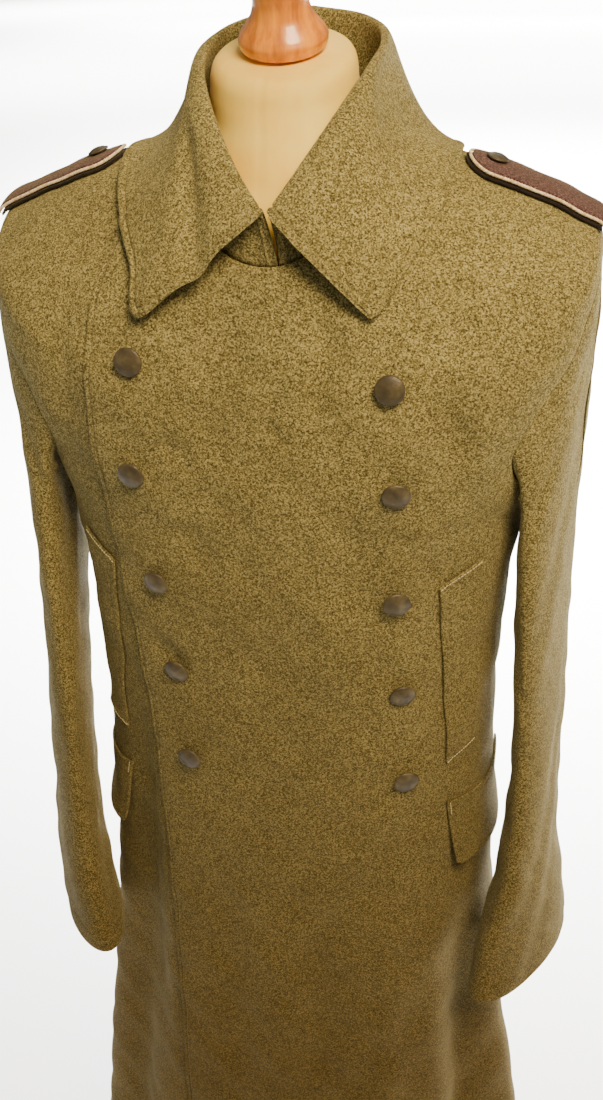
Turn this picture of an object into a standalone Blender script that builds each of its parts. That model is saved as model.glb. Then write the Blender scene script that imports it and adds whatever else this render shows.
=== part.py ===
"""Military greatcoat on a limbless dress form that stands on a pole and a round base.

Metres, +Z up, floor at z = 0. The front looks along -Y and the wearer's left is +X.
Every cloth piece is a wall between two faces worked out from the tables below.
"""
import math

import bmesh
import bpy
import numpy as np

# Sizes of the cloth, in metres
CLOTH = 0.0026
COLLAR_CLOTH = 0.0030
SEAM_GAP = 0.0004
LAP_GAP = 0.0005
SLEEVE_GAP = 0.0006

# Moves the whole part so that the middle of its bounding box stands over the origin
ORIGIN_SHIFT = np.array([-.0053, -.0043, 0.0])

# Front closing
UNDERLAP_X = 0.100
LAP_FADE_DEG = 12.0
BUTTON_LEFT_Z = [1.265, 1.187, 1.091, 1.001, 0.910]
BUTTON_RIGHT_Z = [1.275, 1.189, 1.093, 1.007, 0.918]
BUTTON_LEFT_X = [0.094, 0.100, 0.101, 0.107, 0.112]
BUTTON_RIGHT_X = [-0.098, -0.101, -0.090, -0.080, -0.073]
BUTTON_SEAT_LEFT = [0.0008, 0.0008, 0.0008, 0.0001, -0.0007]
BUTTON_SEAT_RIGHT = [0.0008, 0.0006, 0.0006, 0.0008, 0.0008]
BUTTON_RADIUS = 0.011
BUTTON_DROOP_DEG = 9.0

# Rows of the coat's body, from the neck seam down to the hem.
# name, half_width, front, back, side_z, front_drop, back_rise, squareness,
# lap_edge_x, front_seam_deg, back_seam_deg
COAT_ROWS = [
    ("neck seam", .083, .108, .078, 1.417, .074, .016, 2.1, .074, 90, 90),
    ("yoke 1", .125, .113, .090, 1.405, .081, -.003, 2.4, .108, 90, 90),
    ("yoke 2", .170, .118, .100, 1.391, .086, -.015, 2.8, .126, 90, 90),
    ("yoke 3", .210, .123, .108, 1.375, .090, -.034, 3.1, .133, 90, 90),
    ("shoulder point", .231, .127, .114, 1.364, .096, -.048, 3.3, .135, 90, 90),
    ("armhole top", .234, .129, .117, 1.350, .089, -.046, 3.3, .136, 73, 107),
    ("armhole 1", .234, .131, .120, 1.320, .075, -.039, 3.3, .137, 62, 116),
    ("armhole 2", .228, .133, .122, 1.277, .057, -.029, 3.1, .137, 53, 123),
    ("armhole 3", .219, .134, .123, 1.236, .040, -.018, 3.0, .136, 49, 127),
    ("armhole 4", .209, .135, .123, 1.196, .020, -.008, 2.8, .134, 54, 127),
    ("armhole 5", .201, .135, .122, 1.163, .008, -.003, 2.7, .132, 73, 122),
    ("underarm", .196, .135, .121, 1.142, .000, .000, 2.6, .131, 106, 106),
    ("chest", .190, .134, .119, 1.090, .000, .000, 2.5, .126, 106, 106),
    ("ribs", .186, .132, .117, 1.040, .000, .000, 2.5, .121, 106, 106),
    ("waist 1", .183, .130, .116, .990, .000, .000, 2.5, .116, 106, 106),
    ("waist 2", .183, .130, .117, .940, .000, .000, 2.5, .112, 106, 106),
    ("hip 1", .184, .130, .120, .890, .000, .000, 2.5, .110, 106, 106),
    ("hip 2", .186, .131, .124, .840, .000, .000, 2.5, .108, 106, 106),
    ("hip 3", .189, .134, .130, .780, .000, .000, 2.4, .106, 106, 106),
    ("skirt 1", .195, .139, .140, .700, .000, .000, 2.4, .104, 106, 106),
    ("skirt 2", .205, .147, .151, .600, .000, .000, 2.3, .102, 106, 106),
    ("skirt 3", .216, .155, .162, .500, .000, .000, 2.3, .101, 106, 106),
    ("skirt 4", .228, .162, .173, .400, .000, .000, 2.3, .101, 106, 106),
    ("skirt 5", .238, .168, .181, .310, .000, .000, 2.3, .101, 106, 106),
    ("hem", .245, .172, .186, .245, .000, .000, 2.3, .101, 106, 106),
]
ROW_SHOULDER = 4
ROW_UNDERARM = 11
ROW_HEM = 24

# Long folds of the skirt and soft bends higher up: angle from the centre front,
# width and depth outward at full size, heights where each starts and is full.
# name, angle_deg, width_deg, depth, start_z, full_z
FOLD_ROWS = [
    ("valley beside the lap edge", -50, 9, -.018, .98, .42),
    ("ridge of the right hip", -68, 10, .008, .86, .40),
    ("valley of the right side", -92, 10, -.009, .80, .35),
    ("ridge of the left front", 41, 8, .007, .87, .55),
    ("valley behind it", 57, 8, -.017, .86, .45),
    ("ridge of the left side", 78, 11, .016, .66, .42),
    ("valley of the left side", 97, 9, -.008, .78, .35),
    ("back ridge, left", 122, 9, .010, .88, .35),
    ("back valley, left", 142, 9, -.012, .90, .35),
    ("back ridge, middle", 176, 10, .009, .92, .35),
    ("back valley, right", 216, 9, -.013, .90, .35),
    ("back ridge, right", 239, 9, .010, .86, .35),
]

# Rows where a front, the back and a sleeve meet at the armhole
ARMHOLE_ROWS = [4, 4.5, 5, 5.5, 6, 7, 8, 9, 9.5, 10, 10.4, 10.75, 11]

# Sleeves below the sleeve head: height, centre, half sizes of the section and its turn.
# name, z, centre_x, centre_y, half_thick, half_depth, turn_deg
SLEEVE_LEFT_ROWS = [
    ("biceps", 1.100, 0.2172, -0.006, 0.0190, 0.0890, 11),
    ("above elbow", 1.000, 0.2202, -0.014, 0.0185, 0.0830, 10),
    ("elbow", 0.900, 0.2250, -0.027, 0.0190, 0.0720, 11),
    ("forearm", 0.800, 0.2248, -0.044, 0.0220, 0.0690, 13),
    ("above cuff", 0.735, 0.2248, -0.056, 0.0250, 0.0745, 24),
    ("cuff", 0.672, 0.2255, -0.068, 0.0270, 0.0780, 29),
]
SLEEVE_RIGHT_ROWS = [
    ("biceps", 1.100, .2205, -.010, .0200, .088, 13),
    ("above elbow", 1.000, .2220, -.026, .0200, .085, 18),
    ("elbow", .900, .2230, -.043, .0205, .082, 22),
    ("forearm", .800, .2200, -.062, .0220, .078, 25),
    ("above cuff", .735, .2130, -.077, .0250, .074, 28),
    ("cuff", .678, .2030, -.092, .0270, .068, 32),
]
SLEEVE_HEAD_STEPS = [0.0, .12, .30, .52, .76]
SLEEVE_ROW_STEPS = [0.0, .7, 1.4, 2.1, 2.8, 3.5, 4.2, 5.0]

# Collar from its front end round to the centre back, for one half.
# name, neck_deg, roll_x, roll_y, roll_z, edge_deg, edge_row, lift,
# stand_lean, roll_out, roll_along, fall_out, fall_up
COLLAR_ROWS = [
    ("front end", .3, .0010, -.1160, 1.3820, 25.5, 2.15, .0100, .004, .009, .10, .007, .000),
    ("wing 1", 14, .0170, -.0985, 1.4010, 31.0, 1.80, .0095, .006, .012, .10, .004, .000),
    ("wing 2", 28, .0320, -.0810, 1.4220, 39.0, 1.46, .0090, .007, .015, .08, .000, .000),
    ("wing 3", 45, .0480, -.0580, 1.4460, 55.0, 1.18, .0080, .008, .018, .04, -.015, -.006),
    ("side front", 66, .0610, -.0280, 1.4670, 74.0, 1.06, .0060, .009, .018, .00, -.034, -.014),
    ("side", 90, .0660, .0050, 1.4790, 91.0, 1.04, .0055, .009, .018, .00, -.037, -.018),
    ("side back", 115, .0610, .0400, 1.4880, 114.0, 1.10, .0055, .008, .017, .00, -.028, -.012),
    ("back", 146, .0390, .0690, 1.4970, 145.0, 1.22, .0055, .007, .016, .00, -.006, .000),
    ("centre back", 180, .0000, .0830, 1.5020, 180.0, 1.32, .0055, .007, .016, .00, .000, .000),
]
COLLAR_JOINT_DEG = 7.3
COLLAR_TIP_DROP = (.48, -.05)
COLLAR_LEFT_PULL = .011
COLLAR_RIGHT_SPREAD_DEG = 1.6
COLLAR_NOTCH_X = .004
COLLAR_JOINT_GAP = .0006
STAND_STEPS = [0.0, .40, .75, 1.0]
FALL_STEPS = [.12, .28, .46, .64, .82, 1.0]

# Shoulder strap, along the shoulder ridge
STRAP_X0 = .131
STRAP_X1 = .2310
STRAP_HALF = .0225
STRAP_UNDERLAY = .0022
STRAP_TOP = .0028
STRAP_PIPING_R = .0013
STRAP_SHIFT_Y = -.006
STRAP_BUTTON_X = .152
STRAP_BUTTON_RADIUS = .0085

# Pockets on each front: corners in x on the front or degrees round the side, and z
WELT_TOP = [(.1330, 1.0970), (.1640, 1.1160)]
WELT_BOTTOM = [(.1460, .9130), (.1670, .9260)]
POCKET_CLOTH = .0022
FLAP_INNER_X = .1480
FLAP_INNER_SLANT = .0080
FLAP_OUTER_DEG = 101.0
FLAP_TOP_Z = .8690
FLAP_BOTTOM_Z = .7960
FLAP_LIFT = .0075

# Dress form: name, half_width, front, back, side_z, front_drop, back_rise, squareness,
# slope, shift_x
FORM_ROWS = [
    ("bottom edge", .158, .104, .106, .800, 0, 0, 2.3, 0, 0),
    ("hips", .163, .110, .112, .850, 0, 0, 2.3, 0, 0),
    ("high hips", .158, .108, .106, .920, 0, 0, 2.3, 0, 0),
    ("waist", .140, .096, .090, 1.010, 0, 0, 2.2, 0, 0),
    ("ribs", .158, .108, .098, 1.100, 0, 0, 2.3, 0, 0),
    ("chest", .172, .116, .104, 1.180, 0, 0, 2.4, 0, 0),
    ("armpit", .180, .116, .104, 1.250, .010, 0, 2.5, 0, 0),
    ("shoulder side", .184, .110, .098, 1.318, .030, -.020, 2.6, 0, 0),
    ("shoulder tip", .182, .106, .090, 1.3560, .060, -.030, 2.6, 0, 0),
    ("shoulder 1", .165, .104, .086, 1.3809, .070, -.016, 2.5, 0, 0),
    ("shoulder 2", .140, .101, .081, 1.3960, .070, -.010, 2.4, 0, 0),
    ("shoulder 3", .115, .097, .074, 1.4045, .066, -.004, 2.3, 0, 0),
    ("shoulder 4", .088, .090, .064, 1.4085, .054, .004, 2.2, 0, 0),
    ("neck root", .063, .072, .058, 1.4200, .018, .006, 2.0, .04, -.002),
    ("neck 1", .0565, .061, .055, 1.4370, .004, .004, 2.0, .16, -.004),
    ("neck 2", .0555, .056, .055, 1.4550, 0, 0, 2.0, .30, -.006),
    ("neck edge", .0540, .054, .054, 1.4665, 0, 0, 2.0, .33, -.006),
    ("neck round", .0490, .049, .049, 1.4735, 0, 0, 2.0, .33, -.006),
    ("neck top", .0340, .034, .034, 1.4765, 0, 0, 2.0, .33, -.006),
]
FORM_AROUND = 24

# Neck cap: radius and height above the neck's top, along its tilted axis
CAP_BASE = (-.0050, -.0020, 1.4762)
CAP_TILT_DEG = 18.0
CAP_PROFILE = [
    (.0000, .0006), (.0230, .0006), (.0295, .0016), (.0325, .0050), (.0330, .0095),
    (.0310, .0140), (.0262, .0200), (.0220, .0270), (.0202, .0350), (.0205, .0430),
    (.0228, .0500), (.0222, .0570), (.0170, .0625), (.0090, .0650), (.0000, .0655),
]
POLE_RADIUS = .016
BASE_RADIUS = .185
BASE_HEIGHT = .022

# Colours, as linear values
WOOL = (.165, .140, .062, 1.0)
WOOL_DARK = (.020, .013, .012, 1.0)
PIPING = (.72, .60, .36, 1.0)
BUTTON_PAINT = (.120, .098, .055, 1.0)
JERSEY = (.80, .69, .43, 1.0)
WOOD = (.62, .27, .035, 1.0)

TAU = 2.0 * math.pi


def table_at(table, row):
    """Numbers of a table at fractional rows, by a curve that never overshoots a row."""
    data = np.array([line[1:] for line in table], float)
    last = len(data) - 1
    step = data[1:] - data[:-1]
    slope = np.zeros_like(data)
    slope[0] = step[0]
    slope[-1] = step[-1]
    same = step[:-1] * step[1:] > 0
    total = np.where(same, step[:-1] + step[1:], 1.0)
    slope[1:-1] = np.where(same, 2.0 * step[:-1] * step[1:] / total, 0.0)
    row = np.clip(np.asarray(row, float), 0, last)
    i = np.minimum(row.astype(int), last - 1)
    f = (row - i)[..., None]
    low, high = data[i], data[i + 1]
    out = (2 * f**3 - 3 * f**2 + 1) * low + (f**3 - 2 * f**2 + f) * slope[i]
    out = out + (3 * f**2 - 2 * f**3) * high + (f**3 - f**2) * slope[i + 1]
    return np.moveaxis(out, -1, 0)


def smooth(value):
    value = np.clip(value, 0.0, 1.0)
    return value * value * (3.0 - 2.0 * value)


def unit(vectors):
    length = np.linalg.norm(vectors, axis=-1, keepdims=True)
    return vectors / np.maximum(length, 1e-12)


def fold_push(phi, z):
    """How far the folds move the cloth out, at an angle and a height."""
    push = np.zeros(np.broadcast(phi, z).shape)
    for _, angle, width, depth, start, full in FOLD_ROWS:
        away = np.degrees(phi) - angle
        away = (away + 180.0) % 360.0 - 180.0
        grown = smooth((start - z) / (start - full))
        push = push + depth * grown * np.exp(-(away / width) ** 2)
    return push


def ring_point(hw, front, back, z, drop, rise, n, phi):
    """A point on one ring: angle phi from the centre front toward the wearer's left."""
    sn, cs = np.sin(phi), np.cos(phi)
    m = (np.abs(sn) ** n + np.abs(cs) ** n) ** (1.0 / n)
    sx, cy = sn / m, cs / m
    x = hw * sx
    y = -np.where(cs > 0, front, back) * cy
    z = z + np.where(cs > 0, -drop, rise) * np.abs(cy) ** 1.8
    return x, y, z


def coat_point(phi, row):
    """Outer face of one layer of the coat's body."""
    phi, row = np.broadcast_arrays(np.asarray(phi, float), np.asarray(row, float))
    x, y, z = ring_point(*table_at(COAT_ROWS, row)[:7], phi)
    push = fold_push(phi, z)
    return np.stack([x + push * np.sin(phi), y - push * np.cos(phi), z], -1)


def coat_normal(phi, row):
    e = 2e-3
    around = coat_point(phi + e, row) - coat_point(phi - e, row)
    down = coat_point(phi, row + e) - coat_point(phi, row - e)
    return unit(np.cross(down, around))


def angle_at_x(row, x):
    """Angle on a row whose point lies at x, on the front."""
    hw, n = table_at(COAT_ROWS, row)[[0, 6]]
    sx = np.clip(np.abs(x) / hw, 0, .9999)
    return np.sign(x) * np.arctan2(sx, (1 - sx ** n) ** (1 / n))


def row_at(x, z):
    """Fractional row where the front passes through x and z."""
    low, high = 0.0, float(ROW_HEM)
    for _ in range(50):
        middle = 0.5 * (low + high)
        phi = angle_at_x(np.array(middle), np.array(float(x)))
        if coat_point(phi, middle)[2] > z:
            low = middle
        else:
            high = middle
    return 0.5 * (low + high)


def row_at_side_z(z):
    low, high = 0.0, float(ROW_HEM)
    for _ in range(50):
        middle = 0.5 * (low + high)
        if table_at(COAT_ROWS, np.array(middle))[3] > z:
            low = middle
        else:
            high = middle
    return 0.5 * (low + high)


def lap_lift(phi, row):
    """How far the left front lies out over the right one."""
    edge = angle_at_x(row, np.minimum(UNDERLAP_X, .85 * table_at(COAT_ROWS, row)[0]))
    past = (np.degrees(phi - edge) - 1.5) / LAP_FADE_DEG
    return (CLOTH + LAP_GAP) * (1.0 - smooth(past))


def front_lift(phi, row, side):
    """Lift of the outer face of the front that shows, at any angle."""
    phi, row = np.broadcast_arrays(np.asarray(phi, float), np.asarray(row, float))
    edge = -angle_at_x(row, table_at(COAT_ROWS, row)[7])
    lift = lap_lift(phi, row)
    if side < 0:
        lift = np.where(phi < edge, 0.0, lift)
    return lift


def material(name, color, roughness, metallic=0.0):
    mat = bpy.data.materials.get(name) or bpy.data.materials.new(name)
    mat.use_nodes = True
    shader = mat.node_tree.nodes["Principled BSDF"]
    shader.inputs["Base Color"].default_value = color
    shader.inputs["Roughness"].default_value = roughness
    shader.inputs["Metallic"].default_value = metallic
    mat.diffuse_color = color
    return mat


def add_object(name, points, faces, mat):
    mesh = bpy.data.meshes.new(name)
    mesh.from_pydata([tuple(map(float, p + ORIGIN_SHIFT)) for p in np.array(points)], [], faces)
    work = bmesh.new()
    work.from_mesh(mesh)
    bmesh.ops.recalc_face_normals(work, faces=work.faces)
    work.to_mesh(mesh)
    work.free()
    mesh.materials.append(mat)
    obj = bpy.data.objects.new(name, mesh)
    bpy.context.scene.collection.objects.link(obj)
    return obj


def wall(name, outer, inner, mat, closed=False):
    """Closed solid between two equal grids of points, closed round columns if asked."""
    rows, cols = outer.shape[:2]
    points = np.concatenate([outer.reshape(-1, 3), inner.reshape(-1, 3)])
    half = rows * cols
    faces = []
    spans = cols if closed else cols - 1
    for r in range(rows - 1):
        for c in range(spans):
            d = (c + 1) % cols
            a, b, e, f = r * cols + c, r * cols + d, (r + 1) * cols + d, (r + 1) * cols + c
            faces.append((a, b, e, f))
            faces.append((half + a, half + f, half + e, half + b))
    for c in range(spans):
        d = (c + 1) % cols
        low = (rows - 1) * cols
        faces.append((c, half + c, half + d, d))
        faces.append((low + c, low + d, half + low + d, half + low + c))
    if not closed:
        for r in range(rows - 1):
            a, b = r * cols, (r + 1) * cols
            faces.append((a, b, half + b, half + a))
            a, b = a + cols - 1, b + cols - 1
            faces.append((a, half + a, half + b, b))
    return add_object(name, points, faces, mat)


def lathe(name, profile, around, mat, frame=None):
    """Turned solid from (radius, height) points whose first and last radius is zero."""
    points, faces = [], []
    for radius, height in profile[1:-1]:
        for j in range(around):
            a = TAU * j / around
            points.append((radius * math.cos(a), radius * math.sin(a), height))
    points.append((0.0, 0.0, profile[0][1]))
    points.append((0.0, 0.0, profile[-1][1]))
    rings = len(profile) - 2
    low, high = rings * around, rings * around + 1
    for j in range(around):
        k = (j + 1) % around
        faces.append((low, k, j))
        faces.append((high, (rings - 1) * around + j, (rings - 1) * around + k))
        for r in range(rings - 1):
            a, b = r * around, (r + 1) * around
            faces.append((a + j, a + k, b + k, b + j))
    points = np.array(points)
    if frame is not None:
        origin, axes = frame
        points = origin + points @ axes
    return add_object(name, points, faces, mat)


def frame_on(origin, normal, up=(0, 0, 1)):
    """Axes whose third one is the normal and whose second one points up."""
    n = unit(np.array(normal, float))
    v = np.array(up, float) - n * np.dot(up, n)
    v = unit(v)
    return np.array(origin, float), np.array([np.cross(v, n), v, n])


def panel(name, row_list, bounds, steps, lift, mat):
    """A body panel between bounding angles of each row, with so many steps between them."""
    rows = np.array(row_list, float)
    lines = [bound(rows) for bound in bounds]
    columns = [lines[0]]
    for low, high, count in zip(lines, lines[1:], steps):
        for k in range(1, count + 1):
            columns.append(low + (high - low) * k / count)
    phi = np.stack(columns, 1)
    row = np.repeat(rows[:, None], phi.shape[1], 1)
    base, normal = coat_point(phi, row), coat_normal(phi, row)
    out = lift(phi, row)[..., None]
    return wall(name, base + normal * out, base + normal * (out - CLOTH), mat)


def seam_angle(column, direction):
    """Seam angle of each row, moved back by half of the seam gap."""
    def angle(rows):
        hw, front, back = table_at(COAT_ROWS, rows)[[0, 1, 2]]
        seam = np.radians(table_at(COAT_ROWS, rows)[column])
        return seam + direction * 0.5 * SEAM_GAP / np.minimum(hw, np.minimum(front, back))
    return angle


def armhole_loop():
    """Angles and rows round an armhole, from the shoulder down the front and up the back."""
    rows = np.array(ARMHOLE_ROWS, float)
    cols = table_at(COAT_ROWS, rows)
    phi = np.radians(np.concatenate([cols[8], cols[9][::-1][1:-1]]))
    return phi, np.concatenate([rows, rows[::-1][1:-1]])


def sleeve(name, side, table, mat):
    """Set-in sleeve: a head that leaves the armhole, then turned oval sections."""
    flip = np.array([side, 1.0, 1.0])
    phi, row = armhole_loop()
    edge = coat_point(side * phi, row) * flip
    body_normal = coat_normal(side * phi, row) * flip
    around = unit(np.roll(edge, -1, 0) - np.roll(edge, 1, 0))
    into = unit(np.cross(around, body_normal))
    centre = edge.mean(0)
    into = into * np.sign(np.sum(into * (centre - edge), -1, keepdims=True))
    length = np.linalg.norm(np.roll(edge, -1, 0) - edge, axis=-1)
    turn = TAU * (np.cumsum(length) - length) / length.sum()
    high = 0.5 * (1 + np.cos(turn))[:, None]
    start = edge + into * SLEEVE_GAP
    leave = unit(into * high + np.array([.60, 0.0, -.80]) * (1.15 - high))

    def section(fraction):
        z, cx, cy, thick, depth, angle = table_at(table, fraction)
        a = math.radians(float(angle))
        u, v = thick * np.cos(turn), depth * np.sin(turn)
        x = cx + u * math.cos(a) - v * math.sin(a)
        y = cy - (v * math.cos(a) + u * math.sin(a))
        return np.stack([x, y, np.full(len(turn), float(z))], -1)

    first = section(0.0)
    below = unit(section(0.3) - first)
    span = np.linalg.norm(first - start, axis=-1, keepdims=True)
    rings = []
    for t in SLEEVE_HEAD_STEPS:
        a, b = 2 * t**3 - 3 * t**2 + 1, t**3 - 2 * t**2 + t
        c, d = 3 * t**2 - 2 * t**3, t**3 - t**2
        rings.append(a * start + b * span * leave * .40 + c * first + d * span * below * .9)
    for fraction in SLEEVE_ROW_STEPS:
        rings.append(section(fraction))
    outer = np.array(rings)
    down = np.gradient(outer, axis=0)
    ring = np.roll(outer, -1, 1) - np.roll(outer, 1, 1)
    normal = unit(np.cross(ring, down))
    middle = outer.mean(1, keepdims=True)
    normal = normal * np.sign(np.sum(normal * (outer - middle), -1, keepdims=True))
    keep = smooth((np.cos(turn) + .95) / .7)[:, None]
    normal[0] = unit(body_normal * keep + normal[0] * (1 - keep))
    inner = outer - normal * CLOTH
    return wall(name, outer * flip, inner * flip, mat, closed=True)


def collar_grid(side, fraction):
    """Face of the collar that shows, for one half, from the stand's foot to the fall's edge."""
    cols = table_at(COLLAR_ROWS, fraction)
    neck, rx, ry, rz, edge_deg, edge_row, lift, lean, out, along, fall_out, fall_up = cols
    end = (1 - np.clip(fraction / 2.0, 0, 1)) ** 2
    edge_row = edge_row + (COLLAR_TIP_DROP[0] if side < 0 else COLLAR_TIP_DROP[1]) * end
    spread = (0.0 if side > 0 else COLLAR_RIGHT_SPREAD_DEG) * np.exp(-((fraction - .8) / 1.2) ** 2)
    edge_deg = edge_deg + spread
    pull = (COLLAR_LEFT_PULL if side > 0 else 0.0) * np.exp(-((fraction - 4.6) / 1.2) ** 2)
    neck_angle = side * np.radians(neck) + np.radians(COLLAR_JOINT_DEG) * end
    inward = np.stack([np.sin(neck_angle), -np.cos(neck_angle), np.zeros_like(neck)], -1)
    foot = coat_point(neck_angle, np.zeros_like(fraction))
    foot = foot - inward * (COLLAR_CLOTH + SEAM_GAP)
    foot = foot + np.array([0, 0, 1.0]) * (SEAM_GAP + .0007 + .0008 * end)[:, None]
    roll = np.stack([side * rx + COLLAR_NOTCH_X * end, ry, rz], -1)
    edge_angle = side * np.radians(edge_deg)
    edge = coat_point(edge_angle, edge_row)
    lift = lift + front_lift(edge_angle, edge_row, side)
    edge = edge + coat_normal(edge_angle, edge_row) * lift[..., None]
    away = side * np.radians(neck)
    o = np.stack([np.sin(away), -np.cos(away), np.zeros_like(away)], -1)
    up = np.array([0, 0, 1.0])
    rise = roll - foot
    grid = []
    for t in STAND_STEPS:
        p1 = foot + rise * .45 * np.array([0, 0, 1.0]) + rise * .2 * np.array([1.0, 1.0, 0])
        p2 = roll - o * lean[:, None]
        u = 1 - t
        grid.append(u**3 * foot + 3 * u * u * t * p1 + 3 * u * t * t * p2 + t**3 * roll)
    for t in FALL_STEPS:
        p1 = roll + o * (out - .6 * pull)[:, None] + (edge - roll) * along[:, None] + up * .003
        p2 = edge + (roll - edge) * .33 + o * (fall_out - pull)[:, None] + up * fall_up[:, None]
        u = 1 - t
        grid.append(u**3 * roll + 3 * u * u * t * p1 + 3 * u * t * t * p2 + t**3 * edge)
    return np.array(grid)


def collar(name, mat):
    """Both halves joined at the centre back."""
    fraction = np.array([0, .35, .7, 1.1, 1.6, 2.1, 2.6, 3.1, 3.6, 4.2, 4.8, 5.4, 6, 6.6, 7.3, 8])
    right = collar_grid(-1, fraction)
    left = collar_grid(1, fraction)
    shown = np.concatenate([right, left[:, ::-1][:, 1:]], 1)
    shown[:, 0] += np.array([-COLLAR_JOINT_GAP, 0, 0])
    shown[:, -1] += np.array([COLLAR_JOINT_GAP, 0, 0])
    down = np.gradient(shown, axis=0)
    along = np.gradient(shown, axis=1)
    normal = unit(np.cross(down, along))
    axis = shown[0] - np.array([0, -.01, 0])
    inward = -np.concatenate([axis[:, :2], np.zeros((len(axis), 1))], 1)
    normal = normal * np.sign(np.sum(normal[1] * inward, -1).mean())
    return wall(name, shown, shown - normal * COLLAR_CLOTH, mat)


def ridge_row(x):
    low, high = 0.0, float(ROW_SHOULDER)
    for _ in range(40):
        middle = 0.5 * (low + high)
        if table_at(COAT_ROWS, np.array(middle))[0] < x:
            low = middle
        else:
            high = middle
    return 0.5 * (low + high)


def ridge_point(side, x, y, lift):
    """Point over the shoulder ridge, at x along it and y across it."""
    row = ridge_row(x)
    hw, front, back, _, _, _, n = table_at(COAT_ROWS, np.array(row))[:7]
    cy = -y / (front if y < 0 else back)
    sx = (1 - abs(cy) ** n) ** (1 / n)
    phi = side * math.atan2(sx, cy)
    return coat_point(phi, row) + coat_normal(phi, row) * lift


def strap_plate(name, side, half, low, thick, x0, mat):
    """Strap layer with a round inner end."""
    ends = [0, .002, .005, .010, .016, .0225]
    xs = [x0 + e for e in ends] + list(np.linspace(x0 + .036, STRAP_X1, 6))
    across = np.linspace(-1, 1, 7)
    faces = []
    for lift in (low + thick, low):
        grid = []
        for x in xs:
            d = min(1.0, (x - x0) / half)
            width = half * max(.12, math.sqrt(max(0.0, 1 - (1 - d) ** 2)))
            grid.append([ridge_point(side, x, STRAP_SHIFT_Y + width * a, lift) for a in across])
        faces.append(np.array(grid))
    return wall(name, faces[0], faces[1], mat)


def tube(name, path, radius, sides, mat):
    """Capped tube along a path of points."""
    path = np.array(path)
    tangent = unit(np.gradient(path, axis=0))
    up = np.array([0, 0, 1.0])
    across = unit(np.cross(tangent, up))
    above = np.cross(across, tangent)
    points, faces = [], []
    for p, s, t in zip(path, across, above):
        for j in range(sides):
            a = TAU * j / sides
            points.append(p + radius * (math.cos(a) * s + math.sin(a) * t))
    for i in range(len(path) - 1):
        for j in range(sides):
            k = (j + 1) % sides
            faces.append((i * sides + j, i * sides + k, (i + 1) * sides + k, (i + 1) * sides + j))
    faces.append(tuple(range(sides))[::-1])
    faces.append(tuple((len(path) - 1) * sides + j for j in range(sides)))
    return add_object(name, points, faces, mat)


def strap(side, tag, mats):
    low = .0010
    strap_plate("strap_underlay_" + tag, side, STRAP_HALF + .0010, low, STRAP_UNDERLAY,
                STRAP_X0 - .0010, mats["dark"])
    base = low + STRAP_UNDERLAY + .0006
    inset = 2 * STRAP_PIPING_R + .0004
    strap_plate("shoulder_strap_" + tag, side, STRAP_HALF - inset, base, STRAP_TOP,
                STRAP_X0 + inset, mats["dark"])
    half, path = STRAP_HALF - STRAP_PIPING_R, []
    centre = STRAP_X0 + STRAP_HALF
    height = base + STRAP_PIPING_R + .0002
    for x in np.linspace(STRAP_X1, centre, 8)[:-1]:
        path.append(ridge_point(side, x, STRAP_SHIFT_Y - half, height))
    for a in np.linspace(-90, 90, 13):
        r = math.radians(a)
        x = centre - half * math.cos(r)
        path.append(ridge_point(side, x, STRAP_SHIFT_Y + half * math.sin(r), height))
    for x in np.linspace(centre, STRAP_X1, 8)[1:]:
        path.append(ridge_point(side, x, STRAP_SHIFT_Y + half, height))
    tube("strap_piping_" + tag, path, STRAP_PIPING_R, 6, mats["piping"])
    top = base + STRAP_TOP + .0004
    place = ridge_point(side, STRAP_BUTTON_X, STRAP_SHIFT_Y, top)
    normal = unit(place - ridge_point(side, STRAP_BUTTON_X, STRAP_SHIFT_Y, 0))
    r = STRAP_BUTTON_RADIUS
    profile = [(0, 0), (r * .45, 0), (r * .9, .0004), (r, .0012), (r * .9, .0022),
               (r * .55, .0034), (0, .0040)]
    frame = frame_on(place, normal, (0, 1, 0))
    lathe("strap_button_" + tag, profile, 14, mats["button"], frame)


def front_button(name, x, z, seat, side, mat):
    row = row_at(x, z)
    phi = float(angle_at_x(np.array(row), np.array(float(x))))
    lift = float(front_lift(phi, row, side))
    normal = coat_normal(phi, row)
    place = coat_point(phi, row) + normal * (lift + seat)
    droop = math.radians(BUTTON_DROOP_DEG)
    tilted = unit(normal * math.cos(droop) - np.array([0, 0, 1.0]) * math.sin(droop))
    r = BUTTON_RADIUS
    profile = [(0, 0), (.0028, 0), (.0030, .0022), (r * .80, .0026), (r, .0040),
               (r * .82, .0062), (r * .42, .0076), (0, .0080)]
    lathe(name, profile, 12, mat, frame_on(place, tilted))


def welt(name, side, mat):
    """Upright welt with slanting ends, on the chest side of a front."""
    across, down = np.linspace(0, 1, 4), np.linspace(0, 1, 8)
    outer, inner = [], []
    for d in down:
        line_out, line_in = [], []
        for a in across:
            top = [(1 - a) * WELT_TOP[0][i] + a * WELT_TOP[1][i] for i in (0, 1)]
            low = [(1 - a) * WELT_BOTTOM[0][i] + a * WELT_BOTTOM[1][i] for i in (0, 1)]
            x, z = [(1 - d) * top[i] + d * low[i] for i in (0, 1)]
            row = row_at(x, z)
            phi = side * float(angle_at_x(np.array(row), np.array(x)))
            base, normal = coat_point(phi, row), coat_normal(phi, row)
            lift = float(front_lift(phi, row, side)) + .0009
            line_in.append(base + normal * lift)
            line_out.append(base + normal * (lift + POCKET_CLOTH))
        outer.append(line_out)
        inner.append(line_in)
    return wall(name, np.array(outer), np.array(inner), mat)


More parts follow.
